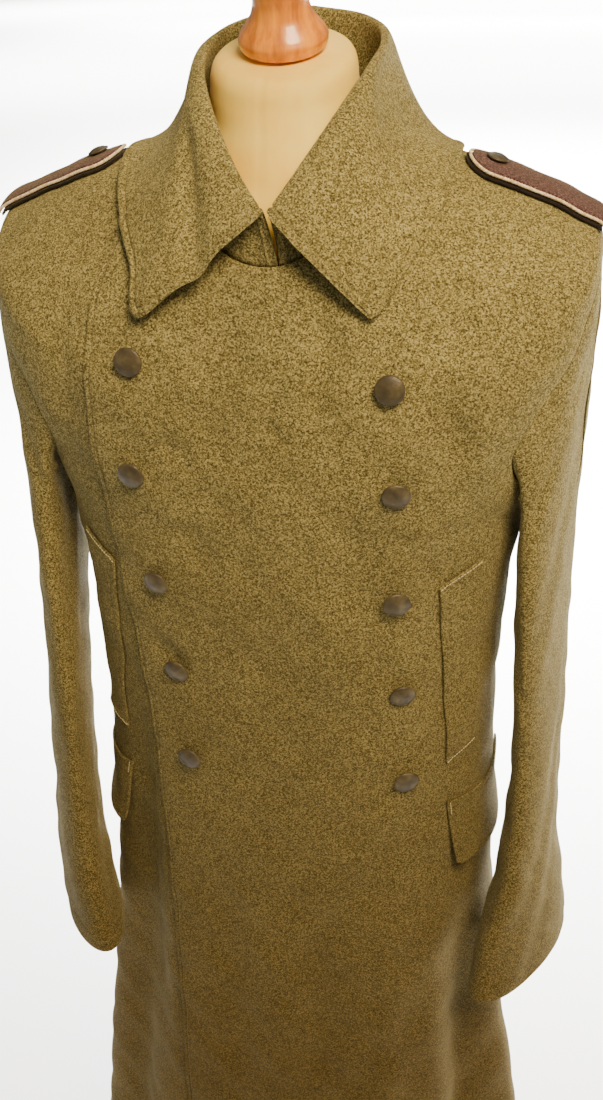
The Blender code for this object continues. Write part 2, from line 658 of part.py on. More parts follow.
def flap(name, side, mat):
    """Hip pocket flap, sewn along its top and free below."""
    across, down = np.linspace(0, 1, 11), np.linspace(0, 1, 6)
    outer, inner = [], []
    for d in down:
        line_out, line_in = [], []
        for a in across:
            z = FLAP_TOP_Z + (FLAP_BOTTOM_Z - FLAP_TOP_Z) * d - .006 * a
            row = row_at_side_z(z)
            inner_x = FLAP_INNER_X + FLAP_INNER_SLANT * d
            start = float(angle_at_x(np.array(row), np.array(inner_x)))
            phi = side * (start + (math.radians(FLAP_OUTER_DEG) - start) * a)
            base, normal = coat_point(phi, row), coat_normal(phi, row)
            flat = np.array([1.0, 1.0, 0.0])
            normal = unit(normal * flat)
            valley = -min(0.0, float(fold_push(phi, z)))
            lift = float(front_lift(phi, row, side)) + .0006
            lift += valley * .8 + FLAP_LIFT * d * d * (1 - .6 * a)
            line_in.append(base + normal * lift)
            line_out.append(base + normal * (lift + POCKET_CLOTH))
        outer.append(line_out)
        inner.append(line_in)
    return wall(name, np.array(outer), np.array(inner), mat)


def dress_form(mat):
    """Torso, shoulders and neck as one closed skin of rings."""
    rows = [0, 1, 2, 3, 4, 5, 6, 7, 7.5, 8, 8.5, 9, 9.5, 10, 11, 12, 12.5, 13, 13.5, 14, 15,
            16, 17, 18]
    points, faces = [], []
    for row in rows:
        cols = table_at(FORM_ROWS, np.array(float(row)))
        hw, front, back, z, drop, rise, n, slope, shift = cols
        phi = TAU * np.arange(FORM_AROUND) / FORM_AROUND
        x, y, z = ring_point(hw, front, back, z, drop, rise, n, phi)
        points.extend(np.stack([x + shift, y, z + slope * y], -1))
    around = FORM_AROUND
    for r in range(len(rows) - 1):
        for j in range(around):
            k = (j + 1) % around
            faces.append((r * around + j, r * around + k, (r + 1) * around + k, (r + 1) * around + j))
    low, high = len(points), len(points) + 1
    top = (len(rows) - 1) * around
    points.append(np.mean(points[:around], 0))
    points.append(np.mean(points[top:top + around], 0) + np.array([0, 0, .0004]))
    for j in range(around):
        k = (j + 1) % around
        faces.append((low, k, j))
        faces.append((high, top + j, top + k))
    add_object("form_body", points, faces, mat)


def build():
    for old in list(bpy.data.objects):
        bpy.data.objects.remove(old, do_unlink=True)
    wool = material("wool_melton", WOOL, .95)
    mats = {
        "dark": material("strap_wool", WOOL_DARK, .95),
        "piping": material("piping_cord", PIPING, .7),
        "button": material("button_paint", BUTTON_PAINT, .45, .2),
    }
    jersey = material("form_jersey", JERSEY, .8)
    wood = material("varnished_wood", WOOD, .25)

    rows = [0, .5, 1, 2, 3] + ARMHOLE_ROWS + list(range(ROW_UNDERARM + 1, ROW_HEM + 1))

    def lap_edge(r):
        return -angle_at_x(r, table_at(COAT_ROWS, r)[7])

    def underlap_edge(r):
        reach = np.minimum(UNDERLAP_X, .85 * table_at(COAT_ROWS, r)[0])
        return angle_at_x(r, reach)

    def flat(phi, row):
        return np.zeros_like(phi)

    def lap(phi, row):
        past = (np.degrees(phi - underlap_edge(row)) - 1.5) / LAP_FADE_DEG
        return (CLOTH + LAP_GAP) * (1.0 - smooth(past))

    left_seam = seam_angle(8, -1)
    panel("front_left", rows, [lap_edge, underlap_edge, left_seam], [9, 6], lap, wool)
    panel("front_right", rows, [lambda r: -left_seam(r), lap_edge, underlap_edge], [5, 9],
          flat, wool)
    back_start = seam_angle(9, 1)
    panel("back", rows, [back_start, lambda r: TAU - back_start(r)], [18], flat, wool)

    for side, tag in ((1, "left"), (-1, "right")):
        table = SLEEVE_LEFT_ROWS if side > 0 else SLEEVE_RIGHT_ROWS
        sleeve("sleeve_" + tag, side, table, wool)
        strap(side, tag, mats)
        welt("pocket_welt_" + tag, side, wool)
        flap("pocket_flap_" + tag, side, wool)
    collar("collar", wool)

    columns = (("left", BUTTON_LEFT_X, BUTTON_LEFT_Z, BUTTON_SEAT_LEFT),
               ("right", BUTTON_RIGHT_X, BUTTON_RIGHT_Z, BUTTON_SEAT_RIGHT))
    for tag, across, heights, seats in columns:
        for i, (x, z, seat) in enumerate(zip(across, heights, seats)):
            front_button("button_%s_%d" % (tag, i + 1), x, z, seat, 1, mats["button"])

    dress_form(jersey)
    tilt = math.radians(CAP_TILT_DEG)
    axis = (0.0, -math.sin(tilt), math.cos(tilt))
    lathe("neck_cap", CAP_PROFILE, 20, wood, frame_on(CAP_BASE, axis, (0, 1, 0)))
    low, high = BASE_HEIGHT + .0004, FORM_ROWS[0][4] - .0004
    pole = [(0, low), (POLE_RADIUS, low), (POLE_RADIUS, high), (0, high)]
    lathe("stand_pole", pole, 24, wood)
    edge = .006
    base = [(0, 0), (BASE_RADIUS - edge, 0), (BASE_RADIUS, edge), (BASE_RADIUS, BASE_HEIGHT - edge),
            (BASE_RADIUS - edge, BASE_HEIGHT), (0, BASE_HEIGHT)]
    lathe("stand_base", base, 40, wood)


build()
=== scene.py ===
"""Looks of a military greatcoat on a limbless dress form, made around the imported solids."""

# %% [markdown]
# ## The frame
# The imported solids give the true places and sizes. Each visible piece is made again, finer, on the
# same sections, and then stands for its solid. Metres, +Z up, the coat's front looks along -Y.

import math

import bpy
import numpy as np
from mathutils import Matrix


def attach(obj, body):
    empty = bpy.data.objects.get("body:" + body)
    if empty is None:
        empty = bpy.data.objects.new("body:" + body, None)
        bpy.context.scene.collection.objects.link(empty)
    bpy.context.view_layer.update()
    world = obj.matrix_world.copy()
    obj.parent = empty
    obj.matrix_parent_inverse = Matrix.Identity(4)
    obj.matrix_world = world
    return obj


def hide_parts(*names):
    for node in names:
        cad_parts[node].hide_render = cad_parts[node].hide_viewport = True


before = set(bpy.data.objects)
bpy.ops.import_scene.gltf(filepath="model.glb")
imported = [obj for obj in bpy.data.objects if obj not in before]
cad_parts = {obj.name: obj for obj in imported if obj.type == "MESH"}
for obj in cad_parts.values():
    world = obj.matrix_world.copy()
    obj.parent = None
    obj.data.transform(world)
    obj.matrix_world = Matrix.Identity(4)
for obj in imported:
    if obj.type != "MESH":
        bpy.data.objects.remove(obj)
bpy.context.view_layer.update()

# %% [markdown]
# ## Sizes of the cloth and the coat's sections
# A coat is cut from flat cloth, but it hangs as a tube. A table of level sections, one row for each
# height, is the shortest way to say its shape. A smooth curve between the rows gives all the rest.

# %% Sizes and section tables
CLOTH = 0.0026
COLLAR_CLOTH = 0.0030
SEAM_GAP = 0.0004
LAP_GAP = 0.0005
SLEEVE_GAP = 0.0006
UNDERLAP_X = 0.100
LAP_FADE_DEG = 12.0
ORIGIN_SHIFT = np.array([-.0053, -.0043, 0.0])

# name, half_width, front, back, side_z, front_drop, back_rise, squareness,
# lap_edge_x, front_seam_deg, back_seam_deg
COAT_ROWS = [
    ("neck seam", .083, .108, .078, 1.417, .074, .016, 2.1, .074, 90, 90),
    ("yoke 1", .125, .113, .090, 1.405, .081, -.003, 2.4, .108, 90, 90),
    ("yoke 2", .170, .118, .100, 1.391, .086, -.015, 2.8, .126, 90, 90),
    ("yoke 3", .210, .123, .108, 1.375, .090, -.034, 3.1, .133, 90, 90),
    ("shoulder point", .231, .127, .114, 1.364, .096, -.048, 3.3, .135, 90, 90),
    ("armhole top", .234, .129, .117, 1.350, .089, -.046, 3.3, .136, 73, 107),
    ("armhole 1", .234, .131, .120, 1.320, .075, -.039, 3.3, .137, 62, 116),
    ("armhole 2", .228, .133, .122, 1.277, .057, -.029, 3.1, .137, 53, 123),
    ("armhole 3", .219, .134, .123, 1.236, .040, -.018, 3.0, .136, 49, 127),
    ("armhole 4", .209, .135, .123, 1.196, .020, -.008, 2.8, .134, 54, 127),
    ("armhole 5", .201, .135, .122, 1.163, .008, -.003, 2.7, .132, 73, 122),
    ("underarm", .196, .135, .121, 1.142, .000, .000, 2.6, .131, 106, 106),
    ("chest", .190, .134, .119, 1.090, .000, .000, 2.5, .126, 106, 106),
    ("ribs", .186, .132, .117, 1.040, .000, .000, 2.5, .121, 106, 106),
    ("waist 1", .183, .130, .116, .990, .000, .000, 2.5, .116, 106, 106),
    ("waist 2", .183, .130, .117, .940, .000, .000, 2.5, .112, 106, 106),
    ("hip 1", .184, .130, .120, .890, .000, .000, 2.5, .110, 106, 106),
    ("hip 2", .186, .131, .124, .840, .000, .000, 2.5, .108, 106, 106),
    ("hip 3", .189, .134, .130, .780, .000, .000, 2.4, .106, 106, 106),
    ("skirt 1", .195, .139, .140, .700, .000, .000, 2.4, .104, 106, 106),
    ("skirt 2", .205, .147, .151, .600, .000, .000, 2.3, .102, 106, 106),
    ("skirt 3", .216, .155, .162, .500, .000, .000, 2.3, .101, 106, 106),
    ("skirt 4", .228, .162, .173, .400, .000, .000, 2.3, .101, 106, 106),
    ("skirt 5", .238, .168, .181, .310, .000, .000, 2.3, .101, 106, 106),
    ("hem", .245, .172, .186, .245, .000, .000, 2.3, .101, 106, 106),
]
ROW_SHOULDER = 4
ROW_UNDERARM = 11
ROW_HEM = 24

# name, angle_deg, width_deg, depth, start_z, full_z
FOLD_ROWS = [
    ("valley beside the lap edge", -50, 9, -.018, .98, .42),
    ("ridge of the right hip", -68, 10, .008, .86, .40),
    ("valley of the right side", -92, 10, -.009, .80, .35),
    ("ridge of the left front", 41, 8, .007, .87, .55),
    ("valley behind it", 57, 8, -.017, .86, .45),
    ("ridge of the left side", 78, 11, .016, .66, .42),
    ("valley of the left side", 97, 9, -.008, .78, .35),
    ("back ridge, left", 122, 9, .010, .88, .35),
    ("back valley, left", 142, 9, -.012, .90, .35),
    ("back ridge, middle", 176, 10, .009, .92, .35),
    ("back valley, right", 216, 9, -.013, .90, .35),
    ("back ridge, right", 239, 9, .010, .86, .35),
]
print("coat sections:", len(COAT_ROWS), "long folds:", len(FOLD_ROWS))


# %% Curves through a table
def table_at(table, row):
    """Numbers of a table at fractional rows, by a curve that never overshoots a row."""
    data = np.array([line[1:] for line in table], float)
    last = len(data) - 1
    step = data[1:] - data[:-1]
    slope = np.zeros_like(data)
    slope[0] = step[0]
    slope[-1] = step[-1]
    same = step[:-1] * step[1:] > 0
    total = np.where(same, step[:-1] + step[1:], 1.0)
    slope[1:-1] = np.where(same, 2.0 * step[:-1] * step[1:] / total, 0.0)
    row = np.clip(np.asarray(row, float), 0, last)
    i = np.minimum(row.astype(int), last - 1)
    f = (row - i)[..., None]
    low, high = data[i], data[i + 1]
    out = (2 * f**3 - 3 * f**2 + 1) * low + (f**3 - 2 * f**2 + f) * slope[i]
    out = out + (3 * f**2 - 2 * f**3) * high + (f**3 - f**2) * slope[i + 1]
    return np.moveaxis(out, -1, 0)


def smooth(value):
    """Soft step from 0 to 1."""
    value = np.clip(value, 0.0, 1.0)
    return value * value * (3.0 - 2.0 * value)


def unit(vectors):
    length = np.linalg.norm(vectors, axis=-1, keepdims=True)
    return vectors / np.maximum(length, 1e-12)


hem_width = 2 * table_at(COAT_ROWS, np.array(float(ROW_HEM)))[0]
print("hem width in mm:", round(1000 * float(hem_width)))

# %% [markdown]
# ## Creases
# Heavy wool doesn't crumple. It bends in long soft folds over the skirt, and in a few short, shallow
# creases where it is pulled. Each crease here is a bowed line with a soft cross-section, placed
# where it shows, and the sides that don't show have similar ones.

# %% Creases placed one by one
# x0, z0, x1, z1, bow, width, depth (a negative depth is a trough)
FRONT_CREASES = [
    (.048, 1.315, .034, 1.232, .005, .0090, -.0050),
    (.030, 1.310, .016, 1.250, .003, .0080, .0028),
    (.000, 1.240, .031, 1.215, -.003, .0075, -.0032),
    (-.070, 1.150, -.041, 1.106, .004, .0110, -.0038),
    (-.103, 1.036, -.074, 1.008, .002, .0100, -.0032),
    (-.118, 1.374, -.125, 1.342, .000, .0050, -.0024),
    (-.160, 1.310, -.168, 1.170, .006, .0130, -.0046),
    (-.020, 1.330, -.052, 1.190, .008, .0190, -.0040),
    (-.086, 1.215, -.048, 1.196, .004, .0100, -.0030),
    (.064, 1.170, .076, 1.020, .008, .0170, -.0036),
    (.128, 1.280, .144, 1.160, .003, .0140, -.0044),
    (.152, 1.300, .160, 1.200, .003, .0100, .0028),
    (.020, 1.060, -.024, .985, -.006, .0160, -.0034),
    (-.034, 1.150, .012, 1.092, -.006, .0140, -.0026),
    (.036, 1.100, .058, .960, .006, .0190, .0022),
    (-.060, .820, -.048, .450, .012, .0200, -.0050),
    (.046, .800, .060, .380, -.010, .0230, -.0054),
    (.000, .740, -.010, .330, .010, .0240, .0044),
    (.098, .760, .110, .400, .006, .0160, .0042),
    (-.129, .985, -.136, .460, -.004, .0150, -.0085),
]
BACK_CREASES = [
    (-.120, 1.340, -.060, 1.290, -.010, .0150, -.0026),
    (.122, 1.335, .070, 1.270, .010, .0170, -.0028),
    (-.150, 1.180, -.110, 1.060, .010, .0160, -.0028),
    (.146, 1.190, .118, 1.040, -.008, .0150, -.0026),
    (-.050, 1.030, .040, 1.012, .008, .0140, -.0026),
    (.060, .985, -.030, .960, -.006, .0120, -.0022),
    (.070, .820, .082, .420, .010, .0220, -.0034),
    (-.066, .800, -.080, .360, -.012, .0240, -.0036),
]
# Slow unevenness of pressed wool: wave_x and wave_z in mm, phase, height
WAVES = [(92, 61, .3, .0006), (-71, 118, 1.9, .0006), (49, -83, 4.1, .0004), (37, 43, 2.2, .00025)]


def crease_push(table, across, z):
    """How far the creases of a table move the cloth out, at places across and z."""
    push = np.zeros(np.broadcast(across, z).shape)
    for x0, z0, x1, z1, bow, width, depth in table:
        dx, dz = x1 - x0, z1 - z0
        length = math.hypot(dx, dz)
        t = np.clip(((across - x0) * dx + (z - z0) * dz) / length ** 2, 0, 1)
        side = bow * 4 * t * (1 - t)
        near_x = x0 + dx * t - side * dz / length
        near_z = z0 + dz * t + side * dx / length
        away = np.hypot(across - near_x, z - near_z) / width
        push = push + depth * np.exp(-away ** 2) * smooth(t / .3 + .15) * smooth((1 - t) / .4 + .1)
    return push


def wave_push(across, z):
    """How far the slow unevenness moves the cloth out."""
    push = 0.0
    for wave_x, wave_z, phase, height in WAVES:
        turns = 1000 * (across / wave_x + z / wave_z)
        push = push + height * np.sin(math.tau * turns + phase)
    return push


def fold_push(phi, z):
    """How far the long folds move the cloth out, at an angle and a height."""
    push = np.zeros(np.broadcast(phi, z).shape)
    for _, angle, width, depth, start, full in FOLD_ROWS:
        away = np.degrees(phi) - angle
        away = (away + 180.0) % 360.0 - 180.0
        grown = smooth((start - z) / (start - full))
        push = push + depth * grown * np.exp(-(away / width) ** 2)
    return push


print("creases:", len(FRONT_CREASES), "in front,", len(BACK_CREASES), "behind")


# %% The coat's outer face
def ring_point(hw, front, back, z, drop, rise, n, phi):
    """A point on one ring: angle phi from the centre front toward the wearer's left."""
    sn, cs = np.sin(phi), np.cos(phi)
    m = (np.abs(sn) ** n + np.abs(cs) ** n) ** (1.0 / n)
    sx, cy = sn / m, cs / m
    x = hw * sx
    y = -np.where(cs > 0, front, back) * cy
    z = z + np.where(cs > 0, -drop, rise) * np.abs(cy) ** 1.8
    return x, y, z


def coat_point(phi, row):
    """Smooth form of the coat's body, without its creases."""
    phi, row = np.broadcast_arrays(np.asarray(phi, float), np.asarray(row, float))
    x, y, z = ring_point(*table_at(COAT_ROWS, row)[:7], phi)
    push = fold_push(phi, z)
    return np.stack([x + push * np.sin(phi), y - push * np.cos(phi), z], -1)


def coat_normal(phi, row):
    e = 2e-3
    around = coat_point(phi + e, row) - coat_point(phi - e, row)
    down = coat_point(phi, row + e) - coat_point(phi, row - e)
    return unit(np.cross(down, around))


def cloth_face(phi, row, lift=0.0):
    """The coat's face with its creases, moved out by lift."""
    base, normal = coat_point(phi, row), coat_normal(phi, row)
    x, z = base[..., 0], base[..., 2]
    ahead = smooth(np.cos(phi) / .35)
    behind = smooth(-np.cos(phi) / .35)
    push = crease_push(FRONT_CREASES, x, z) * ahead + crease_push(BACK_CREASES, x, z) * behind
    push = push + wave_push(x, z) * smooth((np.asarray(row, float) - .6) / 2.0)
    return base + normal * (np.asarray(lift) + push)[..., None]


def angle_at_x(row, x):
    """Angle on a row whose point lies at x, on the front."""
    hw, n = table_at(COAT_ROWS, row)[[0, 6]]
    sx = np.clip(np.abs(x) / hw, 0, .9999)
    return np.sign(x) * np.arctan2(sx, (1 - sx ** n) ** (1 / n))


def row_at(x, z):
    """Fractional row where the front passes through x and z."""
    low, high = 0.0, float(ROW_HEM)
    for _ in range(40):
        middle = 0.5 * (low + high)
        phi = angle_at_x(np.array(middle), np.array(float(x)))
        if coat_point(phi, middle)[2] > z:
            low = middle
        else:
            high = middle
    return 0.5 * (low + high)


FINE_ROWS = np.linspace(0, ROW_HEM, 2401)
FINE_SIDE_Z = table_at(COAT_ROWS, FINE_ROWS)[3]


def row_at_side_z(z):
    return np.interp(z, FINE_SIDE_Z[::-1], FINE_ROWS[::-1])


def lap_edge_angle(row):
    return -angle_at_x(row, table_at(COAT_ROWS, row)[7])


def underlap_angle(row):
    return angle_at_x(row, np.minimum(UNDERLAP_X, .85 * table_at(COAT_ROWS, row)[0]))


def lap_lift(phi, row):
    """How far the left front lies out over the right one."""
    past = (np.degrees(phi - underlap_angle(row)) - 1.5) / LAP_FADE_DEG
    return (CLOTH + LAP_GAP) * (1.0 - smooth(past))


def front_lift(phi, row, side):
    """Lift of the front's face that shows, at any angle."""
    phi, row = np.broadcast_arrays(np.asarray(phi, float), np.asarray(row, float))
    lift = lap_lift(phi, row)
    return np.where((side < 0) & (phi < lap_edge_angle(row)), 0.0, lift)


print("chest button row:", round(row_at(.1, 1.2), 2))

# %% [markdown]
# ## Colours and materials
# The coat is melton: woollen cloth that is fulled until its weave closes, so the eye sees no threads
# but a matt felt of mixed fibres, olive, brown and straw. That mix is drawn from noise at the size of
# the flecks. Colours are written as a screen shows them, and one function turns them to linear light.

# %% Colour and node helpers
def linear(text):
    """Linear colour with alpha from a hex text such as #8a7c4e."""
    parts = [int(text[i:i + 2], 16) / 255 for i in (1, 3, 5)]
    return [c / 12.92 if c <= .04045 else ((c + .055) / 1.055) ** 2.4 for c in parts] + [1.0]


def add_node(tree, kind, settings=None, inputs=None):
    """One node with its settings, and its inputs as values or as sockets to link."""
    node = tree.nodes.new(kind)
    for key, value in (settings or {}).items():
        setattr(node, key, value)
    for key, value in (inputs or {}).items():
        if isinstance(value, bpy.types.NodeSocket):
            tree.links.new(value, node.inputs[key])
        else:
            node.inputs[key].default_value = value
    return node


def new_material(name, **shader_inputs):
    """A material with its Principled shader set, and its tree to add patterns to."""
    material = bpy.data.materials.new(name)
    material.use_nodes = True
    tree = material.node_tree
    shader = tree.nodes["Principled BSDF"]
    for key, value in shader_inputs.items():
        shader.inputs[key.replace("_", " ")].default_value = value
    return material, tree, shader


def ramp(tree, factor, stops):
    """Colour ramp from (place, hex colour) stops."""
    node = add_node(tree, "ShaderNodeValToRGB", inputs={"Fac": factor})
    elements = node.color_ramp.elements
    while len(elements) < len(stops):
        elements.new(.5)
    for element, (place, color) in zip(elements, stops):
        element.position = place
        element.color = linear(color)
    return node.outputs["Color"]


def mix_color(tree, factor, a, b, blend="MIX"):
    node = add_node(tree, "ShaderNodeMix", {"data_type": "RGBA", "blend_type": blend})
    for index, value in ((0, factor), (6, a), (7, b)):
        if isinstance(value, bpy.types.NodeSocket):
            tree.links.new(value, node.inputs[index])
        else:
            node.inputs[index].default_value = value
    return node.outputs[2]


def noise(tree, place, size_mm, detail=2.0, roughness=.5):
    """Noise whose lumps are about size_mm wide."""
    node = add_node(tree, "ShaderNodeTexNoise", inputs={
        "Vector": place, "Scale": 1000.0 / size_mm, "Detail": detail, "Roughness": roughness})
    return node.outputs["Fac"]


print("olive in linear light:", [round(c, 3) for c in linear("#8a7c4e")[:3]])

# %% [markdown]
# ## Melton wool
# Real fibre flecks are about half a millimetre wide, finer than a pixel here, so they are drawn about
# 1 mm wide, as random cells with soft noise, to show as the marl that the eye sees. The nap scatters
# light at grazing angles, which is what the sheen is for. Toward the hem the colour is browner, and
# darker as painted shade for the light that falls off downward.

# %% Melton wool
MARL_MM = 1.4
TUFT_MM = .95
TUFT_SHARE = .38
FLECK_MM = 1.3
BLOTCH_MM = 70.0
BLOTCH_SHARE = .22
# Heights between which the painted shade toward the hem grows from none to full
PAINTED_SHADE_TOP_Z = 1.30
PAINTED_SHADE_FULL_Z = .55
FELT_DEPTH = .0009


def object_place(tree):
    return add_node(tree, "ShaderNodeTexCoord").outputs["Object"]


def bump_from(tree, shader, height, strength, distance):
    bump = add_node(tree, "ShaderNodeBump", inputs={
        "Strength": strength, "Distance": distance, "Height": height})
    tree.links.new(bump.outputs["Normal"], shader.inputs["Normal"])


def remap(tree, value, low, high, to_low, to_high):
    """A value moved from one span to another, and held at the ends."""
    return add_node(tree, "ShaderNodeMapRange", inputs={
        "Value": value, "From Min": low, "From Max": high,
        "To Min": to_low, "To Max": to_high}).outputs["Result"]


def melton(name, dark, middle, light, hem_painted_shade_tint, fleck_amount=.55):
    """Fulled wool of mixed fibres. Toward the hem the colour is multiplied by a tint, browner and darker
    as painted shade.
    """
    material, tree, shader = new_material(name, Roughness=.96, Sheen_Weight=.22, Sheen_Roughness=.55)
    shader.inputs["Sheen Tint"].default_value = linear("#d9c98c")
    shader.inputs["Specular IOR Level"].default_value = .18
    place = object_place(tree)
    fiber = add_node(tree, "ShaderNodeTexVoronoi", inputs={"Vector": place, "Scale": 1000 / TUFT_MM})
    tuft = add_node(tree, "ShaderNodeSeparateColor", inputs={"Color": fiber.outputs["Color"]}).outputs[0]
    soft = noise(tree, place, MARL_MM, 3.0, .65)
    centred = {0: tuft, 1: TUFT_SHARE, 2: -TUFT_SHARE / 2}
    cells = add_node(tree, "ShaderNodeMath", {"operation": "MULTIPLY_ADD"}, centred).outputs[0]
    mixed = add_node(tree, "ShaderNodeMath", {"operation": "ADD"}, {0: cells, 1: soft}).outputs[0]
    marl = ramp(tree, mixed, [(.29, dark), (.50, middle), (.71, light)])
    pale = remap(tree, noise(tree, place, FLECK_MM, 1.0), .60, .72, 0.0, fleck_amount)
    color = mix_color(tree, pale, marl, linear(light))
    shade = remap(tree, noise(tree, place, BLOTCH_MM, 3.0, .6), .3, .7, 0.0, BLOTCH_SHARE)
    color = mix_color(tree, shade, color, linear(dark))
    # Painted shade: toward the hem the colour is multiplied by the tint, browner and darker where the
    # light falls off
    height = add_node(tree, "ShaderNodeSeparateXYZ", inputs={"Vector": place}).outputs["Z"]
    low = remap(tree, height, PAINTED_SHADE_TOP_Z, PAINTED_SHADE_FULL_Z, 0.0, 1.0)
    color = mix_color(tree, low, color, mix_color(tree, 1.0, color, linear(hem_painted_shade_tint), "MULTIPLY"))
    tree.links.new(color, shader.inputs["Base Color"])
    bump_from(tree, shader, noise(tree, place, FLECK_MM, 4.0, .7), .55, FELT_DEPTH)
    return material


# The fourth colour is the tint toward the hem: painted shade with a browner tone
coat_wool = melton("fulled_melton_wool", "#41381b", "#7b6f3d", "#b3a469", "#a99672", .35)
strap_top_wool = melton("strap_top_brown_wool", "#33201f", "#553937", "#785a54", "#ffffff", .15)
strap_felt = melton("strap_underlay_black_felt", "#0e0807", "#191110", "#2e2422", "#ffffff", .1)
print("wool materials:", coat_wool.name, strap_top_wool.name, strap_felt.name)

# %% [markdown]
# ## Other finishes
# The buttons are pressed metal under thick field-grey paint with a pebbled skin, dull from wear. The
# piping is twisted cotton cord. The form wears a fine cream jersey. Its cap, pole and base are
# turned wood under honey varnish, which is why they alone have a clear coat.

# %% Button paint, cord, jersey, wood and thread
PEBBLE_MM = 1.4
WEAR_MM = 9.0
COTTON_MM = 2.4
STRAND_MM = 1.2
FADE_MM = 45.0
JERSEY_RIB_MM = 26.0
GRAIN_MM = 9.0


def patterned(name, colors, size_mm, detail, roughness, **shader_inputs):
    """A material whose colour is a ramp over noise."""
    material, tree, shader = new_material(name, **shader_inputs)
    place = object_place(tree)
    tint = ramp(tree, noise(tree, place, size_mm, detail, roughness), colors)
    tree.links.new(tint, shader.inputs["Base Color"])
    return material, tree, shader, place


paint, tree, shader, place = patterned(
    "pebbled_field_grey_paint", [(.36, "#443a23"), (.54, "#55492d"), (.72, "#6a5d3c")], WEAR_MM, 2.0, .5,
    Roughness=.46, Metallic=.25)
bump_from(tree, shader, noise(tree, place, PEBBLE_MM, 2.0, .5), .5, .0005)

cord, tree, shader, place = patterned(
    "twisted_cotton_piping", [(.36, "#cda96a"), (.60, "#f6e2b4")], COTTON_MM, 2.0, .6,
    Roughness=.75, Sheen_Weight=.15)
bump_from(tree, shader, noise(tree, place, STRAND_MM, 1.0, .5), .6, .0006)

jersey, tree, shader, place = patterned(
    "cream_cotton_jersey", [(.35, "#f8c845"), (.62, "#ffdc62")], FADE_MM, 3.0, .5,
    Roughness=.72, Sheen_Weight=.12)
wales = add_node(tree, "ShaderNodeTexWave", {"bands_direction": "X"}, {
    "Vector": place, "Scale": 1000 / JERSEY_RIB_MM, "Distortion": .6})
bump_from(tree, shader, wales.outputs["Fac"], .12, .0003)

wood, tree, shader = new_material("honey_varnished_beech", Roughness=.34, Coat_Weight=.55,
                                  Coat_Roughness=.08)
place = add_node(tree, "ShaderNodeMapping", inputs={"Vector": object_place(tree), "Scale": (1, 1, .12)})
grain = noise(tree, place.outputs["Vector"], GRAIN_MM, 5.0, .6)
honey = ramp(tree, grain, [(.34, "#c46c00"), (.52, "#ea8c00"), (.70, "#ffa800")])
tree.links.new(honey, shader.inputs["Base Color"])


def thread_material(name, color):
    """Sewing thread, one plain colour with a dull sheen."""
    material, tree, shader = new_material(name, Roughness=.7, Sheen_Weight=.2)
    shader.inputs["Base Color"].default_value = linear(color)
    return material


olive_thread = thread_material("olive_sewing_thread", "#6f6238")
pale_thread = thread_material("pale_linen_thread", "#cfc08a")
print("finishes:", sorted(m.name for m in bpy.data.materials))

# %% [markdown]
# ## Cloth shells
# Every cloth piece is a closed wall: a face that shows, a face behind it at the cloth's thickness and
# a round rim. One function builds it from a grid of points, so that every edge looks alike.

# %% Shell and turned-piece builders
RIM_STEPS = [.0, .00025, .0008, .0016]
STITCH_STEPS = [.0, .00025, .0008, .0016, .0030, .0038, .0043, .0047, .0051, .0056, .0066]


def spread(length, count, near=RIM_STEPS, far=RIM_STEPS):
    """Fractions from 0 to 1 along a length in metres, close together at both ends."""
    start = np.array(near) / length
    stop = 1 - np.array(far)[::-1] / length
    return np.concatenate([start, np.linspace(start[-1], stop[0], count + 2)[1:-1], stop])


def steps_along(grid, axis):
    """Distance of each grid point from the first one along an axis."""
    gap = np.linalg.norm(np.diff(grid, axis=axis), axis=-1)
    zero = np.zeros_like(np.take(gap, [0], axis))
    return np.concatenate([zero, np.cumsum(gap, axis)], axis)


def border_distance(grid, closed=False, sides="tblr"):
    """Distance of each point from the nearest free border: top, bottom, left or right."""
    down = steps_along(grid, 0)
    over = steps_along(grid, 1)
    options = {"t": down, "b": down[-1:] - down, "l": over, "r": over[:, -1:] - over}
    wanted = [options[s] for s in sides if not (closed and s in "lr")]
    return np.minimum.reduce(wanted)


def grid_normal(grid, closed=False):
    if closed:
        ring = np.roll(grid, -1, 1) - np.roll(grid, 1, 1)
    else:
        ring = np.gradient(grid, axis=1)
    return unit(np.cross(ring, np.gradient(grid, axis=0)))


def groove(distance, at, depth=.0007, half=.0007):
    """Narrow trough that a row of stitches pulls into cloth."""
    return -depth * np.exp(-((distance - at) / half) ** 2)


def grid_quads(rows, cols, closed=False):
    """Faces of a grid of points, rows by columns, whose last column may meet the first."""
    r, c = np.mgrid[0:rows - 1, 0:cols if closed else cols - 1]
    d = (c + 1) % cols
    start, below = r * cols, (r + 1) * cols
    return np.stack([start + c, below + c, below + d, start + d], -1).reshape(-1, 4)


def tube_faces(rows, cols):
    """Faces of a closed tube of rings. Its two ends meet in two more points, the first end's first."""
    j = np.arange(cols)
    k = (j + 1) % cols
    tip, top = np.full(cols, rows * cols), (rows - 1) * cols
    ends = np.concatenate([np.stack([tip, k, j], -1), np.stack([tip + 1, top + j, top + k], -1)])
    return grid_quads(rows, cols, closed=True)[:, ::-1].tolist() + ends.tolist()


def turn_outward(piece, face, toward):
    """Flips a mesh whose given face doesn't look toward a direction."""
    if np.dot(np.array(piece.data.polygons[face].normal), toward) < 0:
        piece.data.flip_normals()


def stand_for(piece, node):
    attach(piece, "root")
    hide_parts(node)


def away_from_middle(normal, grid):
    """Normals of a tube's grid, turned to look away from each ring's middle."""
    out = grid - grid.mean(1, keepdims=True)
    return normal * np.sign(np.sum(normal * out, -1, keepdims=True))


def add_object(name, data):
    thing = bpy.data.objects.new(name, data)
    bpy.context.scene.collection.objects.link(thing)
    return thing


